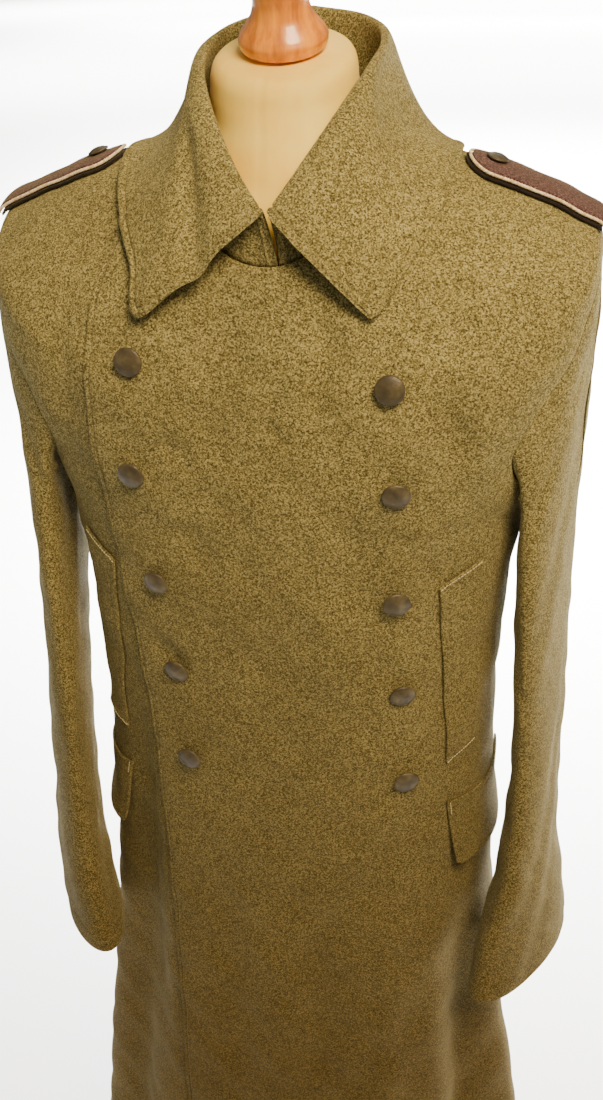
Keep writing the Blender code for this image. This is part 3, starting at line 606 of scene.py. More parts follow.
def add_mesh(name, points, faces, material):
    mesh = bpy.data.meshes.new(name)
    points = np.asarray(points) + ORIGIN_SHIFT
    mesh.from_pydata(points.tolist(), [], faces)
    mesh.materials.append(material)
    mesh.polygons.foreach_set("use_smooth", [True] * len(mesh.polygons))
    return add_object(name, mesh)


def shell(name, outer, normal, thick, material, closed=False):
    """Closed cloth wall with a round rim, from the grid of its outer face."""
    rows, cols = outer.shape[:2]
    radius = thick / 2
    away = np.minimum(border_distance(outer, closed), radius)
    round_off = .86 * (radius - np.sqrt(np.maximum(radius ** 2 - (radius - away) ** 2, 0)))[..., None]
    top = outer - normal * round_off
    low = outer - normal * (thick - round_off)
    points = np.concatenate([top.reshape(-1, 3), low.reshape(-1, 3)])
    quads = grid_quads(rows, cols, closed)
    half = rows * cols

    def rim(a, b):
        return np.stack([a, b, b + half, a + half], -1)

    c = np.arange(cols if closed else cols - 1)
    d = (c + 1) % cols
    end = (rows - 1) * cols
    faces = [quads, (quads + half)[:, ::-1], rim(c, d), rim(end + d, end + c)]
    if not closed:
        r = np.arange(rows - 1) * cols
        e = r + cols - 1
        faces += [rim(r + cols, r), rim(e, e + cols)]
    piece = add_mesh(name, points, np.concatenate(faces).tolist(), material)
    middle = len(quads) // 2
    i, j = divmod(middle, cols if closed else cols - 1)
    turn_outward(piece, middle, normal[i, j])
    return piece


def cloth_area(grid, closed=False):
    """Area of a grid's face in square metres."""
    if closed:
        grid = np.concatenate([grid, grid[:, :1]], 1)
    a, b = grid[1:, :-1] - grid[:-1, :-1], grid[:-1, 1:] - grid[:-1, :-1]
    return float(np.linalg.norm(np.cross(a, b), axis=-1).sum())


def finish_cloth(piece, grid, node, closed=False):
    """Sets a cloth piece on the root to stand for its part, and notes and prints its flat cut and area.
    """
    stand_for(piece, node)
    area = cloth_area(grid, closed)
    width = float(steps_along(grid, 1)[:, -1].max())
    if closed:
        width += float(np.linalg.norm(grid[:, 0] - grid[:, -1], axis=-1).max())
    length = float(steps_along(grid, 0)[-1].max())
    if area < .3 * width * length:
        width = area / (.6 * length)
    CUTS.append((node, round(1000 * width), round(1000 * length), round(area, 4)))
    print(node, "cut in mm:", CUTS[-1][1], "x", CUTS[-1][2], "area:", CUTS[-1][3], "m2")


def turned(name, profile, around, material, node, origin=(0, 0, 0), axes=None):
    """Turned piece from (radius, height) points, closed at both ends on its axis."""
    angles = math.tau * np.arange(around) / around
    rings = np.array(profile)[1:-1]
    x = rings[:, :1] * np.cos(angles)
    y = rings[:, :1] * np.sin(angles)
    z = np.repeat(rings[:, 1:], around, 1)
    points = np.stack([x, y, z], -1).reshape(-1, 3)
    points = np.concatenate([points, [[0, 0, profile[0][1]], [0, 0, profile[-1][1]]]])
    axes = np.eye(3) if axes is None else axes
    points = np.array(origin, float) + points @ axes
    piece = add_mesh(name, points, tube_faces(len(rings), around), material)
    stand_for(piece, node)
    return piece


def axes_on(normal, up=(0, 0, 1)):
    """Axes whose third one is the normal and whose second one points up."""
    n = unit(np.array(normal, float))
    v = unit(np.array(up, float) - n * np.dot(up, n))
    return np.array([np.cross(v, n), v, n])


CUTS = []

# %% [markdown]
# ## Stitches by Geometry Nodes
# A seam is a thread that dips in and out at an even pitch. One node tree sets a short thread along a
# path at each pitch, with its own small change of length, and turns the result to real mesh.

# %% Stitch tree
# Shares of the stitch length
SHORTEST_STITCH = .82
LONGEST_STITCH = 1.12
THIN_THREAD = .0006
THICK_THREAD = .0009


def stitch_tree(name, material):
    """Node group that lays stitches along a path. Inputs: Pitch, Length, Thickness, Seed."""
    tree = bpy.data.node_groups.new(name, "GeometryNodeTree")
    for label, kind, value in (
            ("Geometry", "Geometry", None), ("Pitch", "Float", .0036), ("Length", "Float", .0026),
            ("Thickness", "Float", .0007), ("Seed", "Int", 7)):
        socket = tree.interface.new_socket(label, in_out="INPUT", socket_type="NodeSocket" + kind)
        if value is not None:
            socket.default_value = value
    tree.interface.new_socket("Geometry", in_out="OUTPUT", socket_type="NodeSocketGeometry")
    given = add_node(tree, "NodeGroupInput").outputs
    curve = add_node(tree, "GeometryNodeMeshToCurve", inputs={"Mesh": given["Geometry"]})
    spots = add_node(tree, "GeometryNodeCurveToPoints", {"mode": "LENGTH"}, {
        "Curve": curve.outputs["Curve"], "Length": given["Pitch"]})
    turn = add_node(tree, "FunctionNodeAlignRotationToVector", {"axis": "Z"},
                    {"Vector": spots.outputs["Tangent"]})
    ball = add_node(tree, "GeometryNodeMeshUVSphere", inputs={"Segments": 6, "Rings": 5, "Radius": .5})
    vary = add_node(tree, "FunctionNodeRandomValue", {"data_type": "FLOAT"},
                    {"Seed": given["Seed"], 2: SHORTEST_STITCH, 3: LONGEST_STITCH})
    long = add_node(tree, "ShaderNodeMath", {"operation": "MULTIPLY"},
                    {0: given["Length"], 1: vary.outputs[1]})
    size = add_node(tree, "ShaderNodeCombineXYZ", inputs={
        "X": given["Thickness"], "Y": given["Thickness"], "Z": long.outputs[0]})
    laid = add_node(tree, "GeometryNodeInstanceOnPoints", inputs={
        "Points": spots.outputs["Points"], "Instance": ball.outputs["Mesh"],
        "Rotation": turn.outputs["Rotation"], "Scale": size.outputs["Vector"]})
    real = add_node(tree, "GeometryNodeRealizeInstances", inputs={"Geometry": laid.outputs["Instances"]})
    dyed = add_node(tree, "GeometryNodeSetMaterial", inputs={
        "Geometry": real.outputs["Geometry"], "Material": material})
    end = add_node(tree, "NodeGroupOutput")
    tree.links.new(dyed.outputs["Geometry"], end.inputs[0])
    return tree


def sew(name, paths, tree, slot, **sizes):
    """Stitches along one or more paths, as one plain mesh that rides on the part."""
    points, edges = [], []
    for path in paths:
        first = len(points)
        points.extend((np.asarray(path) + ORIGIN_SHIFT).tolist())
        edges.extend((first + i, first + i + 1) for i in range(len(path) - 1))
    mesh = bpy.data.meshes.new(name + "_path")
    mesh.from_pydata(points, edges, [])
    holder = add_object(name + "_path", mesh)
    modifier = holder.modifiers.new("stitches", "NODES")
    modifier.node_group = tree
    for item in tree.interface.items_tree:
        if item.in_out == "INPUT" and item.name in sizes:
            modifier[item.identifier] = sizes[item.name]
    bpy.context.view_layer.update()
    graph = bpy.context.evaluated_depsgraph_get()
    made = bpy.data.meshes.new_from_object(holder.evaluated_get(graph))
    made.name = name
    made.polygons.foreach_set("use_smooth", [True] * len(made.polygons))
    piece = add_object(name, made)
    bpy.data.objects.remove(holder, do_unlink=True)
    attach(piece, "root")
    print(name, "faces:", len(made.polygons))
    return piece


olive_stitch = stitch_tree("olive_stitches", olive_thread)
pale_stitch = stitch_tree("pale_stitches", pale_thread)
print("stitch trees ready")

# %% [markdown]
# ## Fronts and back
# The left front laps over the right one to the far button row, so it is cut wide. Its edge is turned in
# and topstitched about five millimetres inside, which pulls a fine groove. The back has a centre seam.

# %% Body panels
# Ends of the dart, top and bottom, and the trough along it
DART_X = (.0125, .0140)
DART_Z = (1.350, 1.262)
DART_DEPTH = .0018
DART_HALF = .0013
DART_MARGIN = .014
BODY_ROW_STEPS = 232
# How much the side seam's swing, in metres a radian, adds rows
SEAM_WEIGHT = .40
MEAN_RADIUS = .185
NECK_ROLL = .007
NECK_ROLL_DEPTH = .0007
LAP_STITCH = .0047
LAP_STITCH_COLUMN = 7
BACK_SEAM_X = -.0003


def body_rows():
    """Rows from neck to hem, close together at both ends and where the side seam swings fast."""
    fine = np.linspace(0, ROW_HEM, 1201)
    swing = SEAM_WEIGHT * left_seam(fine)[:, None]
    down = steps_along(np.concatenate([coat_point(0.9, fine), swing], -1)[:, None], 0)[:, 0]
    wanted = spread(down[-1], BODY_ROW_STEPS) * down[-1]
    return np.interp(wanted, down, fine)


def panel_grid(low, high, count, near, far, change=None):
    """Angles and rows of a panel between two bounding angles."""
    rows = body_rows()
    a, b = low(rows), high(rows)
    fractions = spread(float(np.mean(b - a)) * MEAN_RADIUS, count, near, far)
    if change:
        fractions = change(fractions)
    phi = a[:, None] + (b - a)[:, None] * fractions
    return phi, np.repeat(rows[:, None], len(fractions), 1)


def seam_angle(column, direction):
    def angle(rows):
        hw, front, back = table_at(COAT_ROWS, rows)[[0, 1, 2]]
        seam = np.radians(table_at(COAT_ROWS, rows)[column])
        return seam + direction * 0.5 * SEAM_GAP / np.minimum(hw, np.minimum(front, back))
    return angle


left_seam = seam_angle(8, -1)
back_seam = seam_angle(9, 1)


def dart_push(face):
    """The short dart below the neck, a narrow seam line."""
    x, z = face[..., 0], face[..., 2]
    t = (DART_Z[0] - z) / (DART_Z[0] - DART_Z[1])
    line = DART_X[0] + (DART_X[1] - DART_X[0]) * t
    return groove(x, line, DART_DEPTH, DART_HALF) * smooth(t * 9 + .6) * smooth((1 - t) * 4)


def with_dart(fractions):
    """Adds close columns across the dart to a panel's fractions."""
    z = np.linspace(DART_Z[0], DART_Z[1], 12)
    x = np.linspace(DART_X[0], DART_X[1], 12)
    rows = np.array([float(row_at(a, b)) for a, b in zip(x, z)])
    edge = lap_edge_angle(rows)
    share = (angle_at_x(rows, x) - edge) / (left_seam(rows) - edge)
    close = np.linspace(share.min() - DART_MARGIN, share.max() + DART_MARGIN, 48)
    return np.unique(np.concatenate([fractions, close]))


def roll_in(face, normal):
    """Turns a front's neck edge in under the collar."""
    near = np.clip(1 - border_distance(face, sides="t") / NECK_ROLL, 0, 1)
    return face - normal * (NECK_ROLL_DEPTH * near ** 2)[..., None]


phi, row = panel_grid(lap_edge_angle, left_seam, 150, STITCH_STEPS, RIM_STEPS, with_dart)
normal = coat_normal(phi, row)
face = cloth_face(phi, row, lap_lift(phi, row))
edge_away = border_distance(face, sides="l")
push = groove(edge_away, LAP_STITCH, .0010) + dart_push(face)
face = roll_in(face + normal * push[..., None], normal)
front_left = shell("front_left_cloth", face, normal, CLOTH, coat_wool)
finish_cloth(front_left, face, "front_left")
lap_phi, lap_row = phi[2:-2, LAP_STITCH_COLUMN], row[2:-2, LAP_STITCH_COLUMN]
lap_path = cloth_face(lap_phi, lap_row, lap_lift(lap_phi, lap_row))

phi, row = panel_grid(lambda r: -left_seam(r), underlap_angle, 130, RIM_STEPS, RIM_STEPS)
normal = coat_normal(phi, row)
face = roll_in(cloth_face(phi, row), normal)
front_right = shell("front_right_cloth", face, normal, CLOTH, coat_wool)
finish_cloth(front_right, face, "front_right")

phi, row = panel_grid(back_seam, lambda r: math.tau - back_seam(r), 150, RIM_STEPS, RIM_STEPS)
normal = coat_normal(phi, row)
face = cloth_face(phi, row)
face = face + normal * groove(face[..., 0], BACK_SEAM_X, .0010, .0016)[..., None]
back = shell("back_cloth", face, normal, CLOTH, coat_wool)
finish_cloth(back, face, "back")
sew("lap_edge_stitches", [lap_path], olive_stitch, "wool_melton", Thickness=THIN_THREAD)

# %% [markdown]
# ## Sleeves
# A set-in sleeve starts at the armhole as a rounded head and hangs as a flattened tube, because no arm
# fills it. Its sections are ovals, turned a little, from a short table. The cuff has one stitched hem.

# %% Sleeve tables
# name, z, centre_x, centre_y, half_thick, half_depth, turn_deg
SLEEVE_LEFT_ROWS = [
    ("biceps", 1.100, .2172, -.006, .0190, .0890, 11),
    ("above elbow", 1.000, .2202, -.014, .0185, .0830, 10),
    ("elbow", .900, .2250, -.027, .0190, .0720, 11),
    ("forearm", .800, .2248, -.044, .0220, .0690, 13),
    ("above cuff", .735, .2248, -.056, .0250, .0745, 24),
    ("cuff", .672, .2255, -.068, .0270, .0780, 29),
]
SLEEVE_RIGHT_ROWS = [
    ("biceps", 1.100, .2205, -.010, .0200, .088, 13),
    ("above elbow", 1.000, .2220, -.026, .0200, .085, 18),
    ("elbow", .900, .2230, -.043, .0205, .082, 22),
    ("forearm", .800, .2200, -.062, .0220, .078, 25),
    ("above cuff", .735, .2130, -.077, .0250, .074, 28),
    ("cuff", .678, .2030, -.092, .0270, .068, 32),
]
# Creases on a sleeve: turn_deg0, z0, turn_deg1, z1, bow, width, depth (turn 0 is the outside,
# 90 the front edge), with the turn measured along the cloth as degrees times SLEEVE_DEGREE
SLEEVE_DEGREE = .00108
SLEEVE_LEFT_CREASES = [
    (60, 1.220, 96, 1.120, .004, .010, -.0024),
    (20, 1.300, 74, 1.210, .008, .013, -.0022),
    (118, 1.020, 50, .965, .008, .011, -.0026),
    (104, .945, 40, .900, .006, .010, -.0024),
    (20, .930, -40, .860, .008, .015, -.0026),
    (70, .830, 10, .780, .004, .012, -.0020),
    (300, 1.180, 330, 1.050, .006, .016, -.0026),
    (260, .980, 330, .900, .006, .012, -.0026),
    (150, .900, 100, .830, .004, .012, -.0020),
]
SLEEVE_RIGHT_CREASES = [
    (66, 1.240, 100, 1.130, .004, .010, -.0026),
    (10, 1.280, 60, 1.170, .008, .014, -.0022),
    (122, 1.000, 44, .950, .008, .012, -.0028),
    (96, .930, 30, .880, .006, .011, -.0024),
    (40, .850, -30, .800, .006, .013, -.0024),
    (290, 1.150, 330, 1.020, .006, .016, -.0026),
    (250, .960, 320, .900, .006, .012, -.0024),
    (110, .800, 60, .760, .004, .010, -.0018),
]
CUFF_STITCH = .021
HEAD_STEPS = 26
SLEEVE_STEPS = 120


def sleeve_grid(side, table, creases):
    """Outer face of a sleeve, its normals and the turn of each of its columns."""
    flip = np.array([side, 1.0, 1.0])
    rows = np.concatenate([np.linspace(ROW_SHOULDER, 5, 8)[:-1], np.linspace(5, ROW_UNDERARM, 46)])
    cols = table_at(COAT_ROWS, rows)
    phi = np.radians(np.concatenate([cols[8], cols[9][::-1][1:-1]]))
    row = np.concatenate([rows, rows[::-1][1:-1]])
    edge = cloth_face(side * phi, row) * flip
    body_normal = coat_normal(side * phi, row) * flip
    around = unit(np.roll(edge, -1, 0) - np.roll(edge, 1, 0))
    into = unit(np.cross(around, body_normal))
    into = into * np.sign(np.sum(into * (edge.mean(0) - edge), -1, keepdims=True))
    length = np.linalg.norm(np.roll(edge, -1, 0) - edge, axis=-1)
    turn = math.tau * (np.cumsum(length) - length) / length.sum()
    high = 0.5 * (1 + np.cos(turn))[:, None]
    start = edge + into * SLEEVE_GAP
    leave = unit(into * high + np.array([.60, 0.0, -.80]) * (1.15 - high))

    def section(fraction):
        z, cx, cy, thick, depth, angle = table_at(table, fraction)
        a = math.radians(float(angle))
        u, v = thick * np.cos(turn), depth * np.sin(turn)
        x = cx + u * math.cos(a) - v * math.sin(a)
        y = cy - (v * math.cos(a) + u * math.sin(a))
        return np.stack([x, y, np.full(len(turn), float(z))], -1)

    first = section(0.0)
    below = unit(section(0.3) - first)
    span = np.linalg.norm(first - start, axis=-1, keepdims=True)
    rings = []
    near_seam = np.array([0, .003, .008, .015])
    for t in np.concatenate([near_seam, np.linspace(.03, 1, HEAD_STEPS)[:-1]]):
        a, b = 2 * t**3 - 3 * t**2 + 1, t**3 - 2 * t**2 + t
        c, d = 3 * t**2 - 2 * t**3, t**3 - t**2
        rings.append(a * start + b * span * leave * .40 + c * first + d * span * below * .9)
    tube_length = table[0][1] - table[-1][1]
    hem = RIM_STEPS + [.005, .010, .015, .019, .020, .0206, .021, .0214, .022, .0235]
    for fraction in 5 * spread(tube_length, SLEEVE_STEPS, [0.0], hem):
        rings.append(section(fraction))
    grid = np.array(rings)
    normal = away_from_middle(-grid_normal(grid, closed=True), grid)
    keep = smooth((np.cos(turn) + .95) / .7)[:, None]
    for k in range(len(near_seam)):
        share = keep * (1 - k / len(near_seam))
        normal[k] = unit(body_normal * share + normal[k] * (1 - share))
    away = np.linalg.norm(grid - start, axis=-1)
    across = np.degrees(turn)[None] * SLEEVE_DEGREE
    push = 0.0
    full_turn = 360 * SLEEVE_DEGREE
    table_m = [(a * SLEEVE_DEGREE, b, c * SLEEVE_DEGREE, d, e, f, g) for a, b, c, d, e, f, g in creases]
    for shift in (-full_turn, 0, full_turn):
        push = push + crease_push(table_m, across + shift, grid[..., 2])
    push = push + .8 * wave_push(grid[..., 1] * 1.3, grid[..., 2])
    above = steps_along(grid, 0)
    above = above[-1:] - above
    push = push * smooth(away / .05) * smooth(above / .02 + .3)
    push = push + groove(above, CUFF_STITCH, .0008, .0008)
    grid = grid + normal * push[..., None]
    return grid * flip, normal * flip, turn


# %% Sleeves
cuff_paths = []
for side, tag, table, creases in ((1, "left", SLEEVE_LEFT_ROWS, SLEEVE_LEFT_CREASES),
                                  (-1, "right", SLEEVE_RIGHT_ROWS, SLEEVE_RIGHT_CREASES)):
    face, normal, turn = sleeve_grid(side, table, creases)
    sleeve = shell("sleeve_%s_cloth" % tag, face, normal, CLOTH, coat_wool, closed=True)
    finish_cloth(sleeve, face, "sleeve_" + tag,
                 closed=True)
    stitch_row = face[-8] + normal[-8] * .0002
    cuff_paths.append(np.concatenate([stitch_row, stitch_row[:1]]))
sew("cuff_stitches", cuff_paths, olive_stitch, "wool_melton", Thickness=THIN_THREAD)

# %% [markdown]
# ## Collar
# The collar is a stand that rises from the neck seam and a wide fall that rolls over it and lies on the
# chest as two wings. Each half is a sheet between two curves that the table gives from the front end
# round to the centre back. The corners of the wings are rounded, and a stitched line follows the edge.

# %% Collar table
# name, neck_deg, roll_x, roll_y, roll_z, edge_deg, edge_row, lift,
# stand_lean, roll_out, roll_along, fall_out, fall_up
COLLAR_ROWS = [
    ("front end", .3, .0010, -.1160, 1.3820, 25.5, 2.15, .0100, .004, .009, .10, .007, .000),
    ("wing 1", 14, .0170, -.0985, 1.4010, 31.0, 1.80, .0095, .006, .012, .10, .004, .000),
    ("wing 2", 28, .0320, -.0810, 1.4220, 39.0, 1.46, .0090, .007, .015, .08, .000, .000),
    ("wing 3", 45, .0480, -.0580, 1.4460, 55.0, 1.18, .0080, .008, .018, .04, -.015, -.006),
    ("side front", 66, .0610, -.0280, 1.4670, 74.0, 1.06, .0060, .009, .018, .00, -.034, -.014),
    ("side", 90, .0660, .0050, 1.4790, 91.0, 1.04, .0055, .009, .018, .00, -.037, -.018),
    ("side back", 115, .0610, .0400, 1.4880, 114.0, 1.10, .0055, .008, .017, .00, -.028, -.012),
    ("back", 146, .0390, .0690, 1.4970, 145.0, 1.22, .0055, .007, .016, .00, -.006, .000),
    ("centre back", 180, .0000, .0830, 1.5020, 180.0, 1.32, .0055, .007, .016, .00, .000, .000),
]
COLLAR_JOINT_DEG = 7.3
COLLAR_TIP_DROP = (.48, -.05)
COLLAR_RIGHT_SPREAD_DEG = 1.6
COLLAR_LEFT_PULL = .011
COLLAR_NOTCH_X = .004
COLLAR_JOINT_GAP = .0003
# How far the collar's foot goes down behind the fronts' neck edge
COLLAR_TUCK = .0024
# Share of the wings' lift that is left at their front ends
WING_REST = {-1: .85, 1: .50}
COLLAR_STITCH = .0060
# Where the turned edge swells, out of the stitched line
COLLAR_SWELL = .0028
# A step down the fall is worth this many steps of the table
FALL_SCALE = 6
BEND_SCALE = 2.2
# Rounded corner of each wing, as a share of the table rows and of the fall's height
TIP_ROUND = {-1: (.62, .13), 1: (.30, .06)}
# Soft bends of the wings: rows0, fall0, rows1, fall1 along the collar, width, depth
WING_BENDS = {
    -1: [(.20, .56, 2.6, .36, .22, -.0055), (.5, .86, 1.8, .62, .16, .0012),
         (3.2, .55, 4.6, .40, .30, -.0020)],
    1: [(.6, .40, 2.4, .62, .26, -.0014), (2.6, .70, 4.4, .35, .30, -.0022)],
}


def round_corner(fraction, t, side):
    """Draws the square corner at fraction 0 and t 1 in to a round one."""
    wide, tall = TIP_ROUND[side]
    u = np.clip(1 - fraction / wide, 0, 1)
    v = np.clip(1 - (1 - t) / tall, 0, 1)
    new_u = u * np.sqrt(1 - v * v / 2)
    new_v = v * np.sqrt(1 - u * u / 2)
    inside = (u > 0) & (v > 0)
    return np.where(inside, (1 - new_u) * wide, fraction), np.where(inside, 1 - (1 - new_v) * tall, t)


def collar_face(side, fraction, level):
    """Face of one half that shows. level is 0 to 1 up the stand and 1 to 2 down the fall."""
    fall_t = np.clip(level - 1, 0, 1)
    fraction, rounded = round_corner(fraction, fall_t, side)
    fall_t = np.where(level > 1, rounded, 0)
    stand_t = np.clip(level, 0, 1)
    cols = table_at(COLLAR_ROWS, fraction)
    neck, rx, ry, rz, edge_deg, edge_row, lift, lean, out, along, fall_out, fall_up = cols
    up = np.array([0, 0, 1.0])
    end = (1 - np.clip(fraction / 2.0, 0, 1)) ** 2
    edge_row = edge_row + (COLLAR_TIP_DROP[0] if side < 0 else COLLAR_TIP_DROP[1]) * end
    if side < 0:
        edge_deg = edge_deg + COLLAR_RIGHT_SPREAD_DEG * np.exp(-((fraction - .8) / 1.2) ** 2)
    pull = (COLLAR_LEFT_PULL if side > 0 else 0.0) * np.exp(-((fraction - 4.6) / 1.2) ** 2)
    neck_angle = side * np.radians(neck) + np.radians(COLLAR_JOINT_DEG) * end
    inward = np.stack([np.sin(neck_angle), -np.cos(neck_angle), np.zeros_like(neck)], -1)
    foot = coat_point(neck_angle, np.zeros_like(fraction))
    foot = foot - inward * (COLLAR_CLOTH + SEAM_GAP)
    foot = foot + up * (SEAM_GAP - COLLAR_TUCK + .0008 * end)[..., None]
    roll = np.stack([side * rx + COLLAR_NOTCH_X * end, ry, rz], -1)
    edge_angle = side * np.radians(edge_deg)
    edge = coat_point(edge_angle, edge_row)
    lift = lift * (1 - (1 - WING_REST[side]) * smooth(1.6 - fraction / 3))
    lift = lift + front_lift(edge_angle, edge_row, side)
    edge = edge + coat_normal(edge_angle, edge_row) * lift[..., None]
    away = side * np.radians(neck)
    o = np.stack([np.sin(away), -np.cos(away), np.zeros_like(away)], -1)
    rise = roll - foot
    t, u = stand_t[..., None], 1 - stand_t[..., None]
    p1 = foot + rise * np.array([.2, .2, .45])
    p2 = roll - o * lean[..., None]
    stand = u**3 * foot + 3 * u * u * t * p1 + 3 * u * t * t * p2 + t**3 * roll
    t, u = fall_t[..., None], 1 - fall_t[..., None]
    p1 = roll + o * (out - .6 * pull)[..., None] + (edge - roll) * along[..., None] + up * .003
    p2 = edge + (roll - edge) * .33 + o * (fall_out - pull)[..., None] + up * fall_up[..., None]
    fall = u**3 * roll + 3 * u * u * t * p1 + 3 * u * t * t * p2 + t**3 * edge
    return np.where(level[..., None] > 1, fall, stand), fraction, fall_t


# %% Collar
near_front = np.array([0, .008, .025, .05, .08, .11, .135, .155, .17, .185, .20, .215, .23, .25, .28,
                       .32])
along = np.concatenate([near_front, np.linspace(.37, 8, 118)])
near_edge = np.array([0, .002, .006, .012, .020, .030, .040, .046, .051, .056, .061, .067, .075, .088])
levels = np.concatenate([np.linspace(0, 1, 16)[:-1], np.linspace(1, 1.905, 44), 2 - near_edge[::-1]])
halves, bends = [], []
for side in (-1, 1):
    level, fraction = np.meshgrid(levels, along, indexing="ij")
    face, used, fall_t = collar_face(side, fraction, level)
    push = np.zeros_like(fall_t)
    for f0, t0, f1, t1, width, depth in WING_BENDS[side]:
        df, dt = f1 - f0, (t1 - t0) * FALL_SCALE
        f, t = used - f0, (fall_t - t0) * FALL_SCALE
        q = np.clip((f * df + t * dt) / (df * df + dt * dt), 0, 1)
        gap = np.hypot(f - q * df, t - q * dt) / (width * BEND_SCALE)
        push = push + depth * np.exp(-gap ** 2)
    push = push * smooth(fall_t / .2)
    halves.append(face)
    bends.append(push)
face = np.concatenate([halves[0], halves[1][:, ::-1][:, 1:]], 1)
push = np.concatenate([bends[0], bends[1][:, ::-1][:, 1:]], 1)
face[:, 0, 0] -= COLLAR_JOINT_GAP
face[:, -1, 0] += COLLAR_JOINT_GAP
normal = unit(np.cross(np.gradient(face, axis=0), np.gradient(face, axis=1)))
middle = face.shape[1] // 2
normal = normal * np.sign(np.dot(normal[3, middle], (0, -1.0, 0)))
rim_away = border_distance(face, sides="blr")
push = (push + groove(rim_away, COLLAR_STITCH, .0014, .0010)
        + groove(rim_away, COLLAR_SWELL, -.0005, .0018))
face = face + normal * push[..., None]
collar = shell("collar_cloth", face, normal, COLLAR_CLOTH, coat_wool)
finish_cloth(collar, face, "collar")

# %% [markdown]
# ## Pockets
# On each front a slanted upright welt covers an opening, and a flap below it is sewn along its top.
# Both lie on the front, so their points are the front's own points moved out.

# %% Welts and flaps
WELT_TOP = [(.1330, 1.0970), (.1640, 1.1160)]
WELT_BOTTOM = [(.1460, .9130), (.1670, .9260)]
POCKET_CLOTH = .0022
# About how wide and how long they are, to space their points
WELT_SIZE = (.030, .190)
FLAP_SIZE = (.150, .074)
FLAP_INNER_X = .1480
FLAP_INNER_SLANT = .0080
FLAP_OUTER_DEG = 101.0
FLAP_TOP_Z = .8690
FLAP_BOTTOM_Z = .7960
FLAP_LIFT = .0075
FLAP_FALL = .006
FLAP_CORNER = .10
FLAP_ROUND = .055
FLAP_SEAT = .0006
WELT_SEAT = .0009
# Share of a fold's depth that a flap bridges
VALLEY_BRIDGE = .8
WELT_LINE = .0072
FLAP_LINE = .0056
THICK_STITCH = [.0, .0003, .0008, .0015, .0030, .0042, .0050, .0056, .0062, .0070, .0078, .0090]


def welt_face(side):
    """Face of an upright welt with slanting ends."""
    over = spread(WELT_SIZE[0], 16, THICK_STITCH)
    down = spread(WELT_SIZE[1], 90)
    d, a = np.meshgrid(down, over, indexing="ij")
    top = [(1 - a) * WELT_TOP[0][i] + a * WELT_TOP[1][i] for i in (0, 1)]
    low = [(1 - a) * WELT_BOTTOM[0][i] + a * WELT_BOTTOM[1][i] for i in (0, 1)]
    x, z = [(1 - d) * top[i] + d * low[i] for i in (0, 1)]
    row = row_at_side_z(z)
    phi = side * angle_at_x(row, x)
    normal = coat_normal(phi, row)
    return cloth_face(phi, row, front_lift(phi, row, side) + WELT_SEAT + POCKET_CLOTH), normal


def flap_face(side):
    """Face of a hip flap, close at its top and free below."""
    over = spread(FLAP_SIZE[0], 70, THICK_STITCH, THICK_STITCH)
    down = spread(FLAP_SIZE[1], 34, THICK_STITCH, THICK_STITCH)
    d, a = np.meshgrid(down, over, indexing="ij")
    near_corner = np.clip((d - 1) / FLAP_CORNER + 1, 0, 1) * np.clip(1 - a / .05, 0, 1)
    d = d - FLAP_ROUND * near_corner ** 2
    z = FLAP_TOP_Z + (FLAP_BOTTOM_Z - FLAP_TOP_Z) * d - FLAP_FALL * a
    row = row_at_side_z(z)
    start = angle_at_x(row, FLAP_INNER_X + FLAP_INNER_SLANT * d)
    phi = side * (start + (math.radians(FLAP_OUTER_DEG) - start) * a)
    normal = unit(coat_normal(phi, row) * np.array([1.0, 1.0, 0.0]))
    valley = -np.minimum(0.0, fold_push(phi, z))
    free = FLAP_LIFT * d * d * (1 - .6 * a)
    lift = front_lift(phi, row, side) + FLAP_SEAT + VALLEY_BRIDGE * valley + free
    base = coat_point(phi, row)
    x = base[..., 0]
    wave = wave_push(x, z) + crease_push(FRONT_CREASES, x, z) * smooth(np.cos(phi) / .35)
    return base + normal * (lift + POCKET_CLOTH + wave)[..., None], normal


tacks, lines = [], []
for side, tag in ((1, "left"), (-1, "right")):
    face, normal = welt_face(side)
    face = face + normal * groove(border_distance(face, sides="l"), WELT_LINE, .0007, .0008)[..., None]
    welt = shell("pocket_welt_%s_cloth" % tag, face, normal, POCKET_CLOTH, coat_wool)
    finish_cloth(welt, face, "pocket_welt_" + tag)
    for r in (3, -4):
        tacks.append(face[r, 3:-3] + normal[r, 3:-3] * .0003)
    face, normal = flap_face(side)
    face = face + normal * groove(border_distance(face), FLAP_LINE, .0007, .0008)[..., None]
    flap = shell("pocket_flap_%s_cloth" % tag, face, normal, POCKET_CLOTH, coat_wool)
    finish_cloth(flap, face, "pocket_flap_" + tag)
    lines.append(face[7, 7:-7] + normal[7, 7:-7] * .0002)
    tacks.append(face[3:14, 4] + normal[3:14, 4] * .0004)
sew("pocket_tacks", tacks, pale_stitch, "wool_melton", Pitch=.0026, Length=.0024, Thickness=THICK_THREAD)
sew("flap_stitches", lines, olive_stitch, "wool_melton", Thickness=THIN_THREAD)

# %% [markdown]
# ## Shoulder straps
# Each strap is a stiff brown top on a black felt underlay, with a cream cord laid round it. They lie
# along the shoulder ridge, so their points come from the coat's face at a place along and across it.

# %% Straps
STRAP_X0 = .131
STRAP_X1 = .2310
STRAP_HALF = .0225
STRAP_UNDERLAY = .0022
STRAP_TOP = .0028
STRAP_PIPING_R = .0013
STRAP_SHIFT_Y = -.006
STRAP_BUTTON_X = .152
STRAP_BUTTON_RADIUS = .0085
STRAP_BUTTON_SEAT = .0004
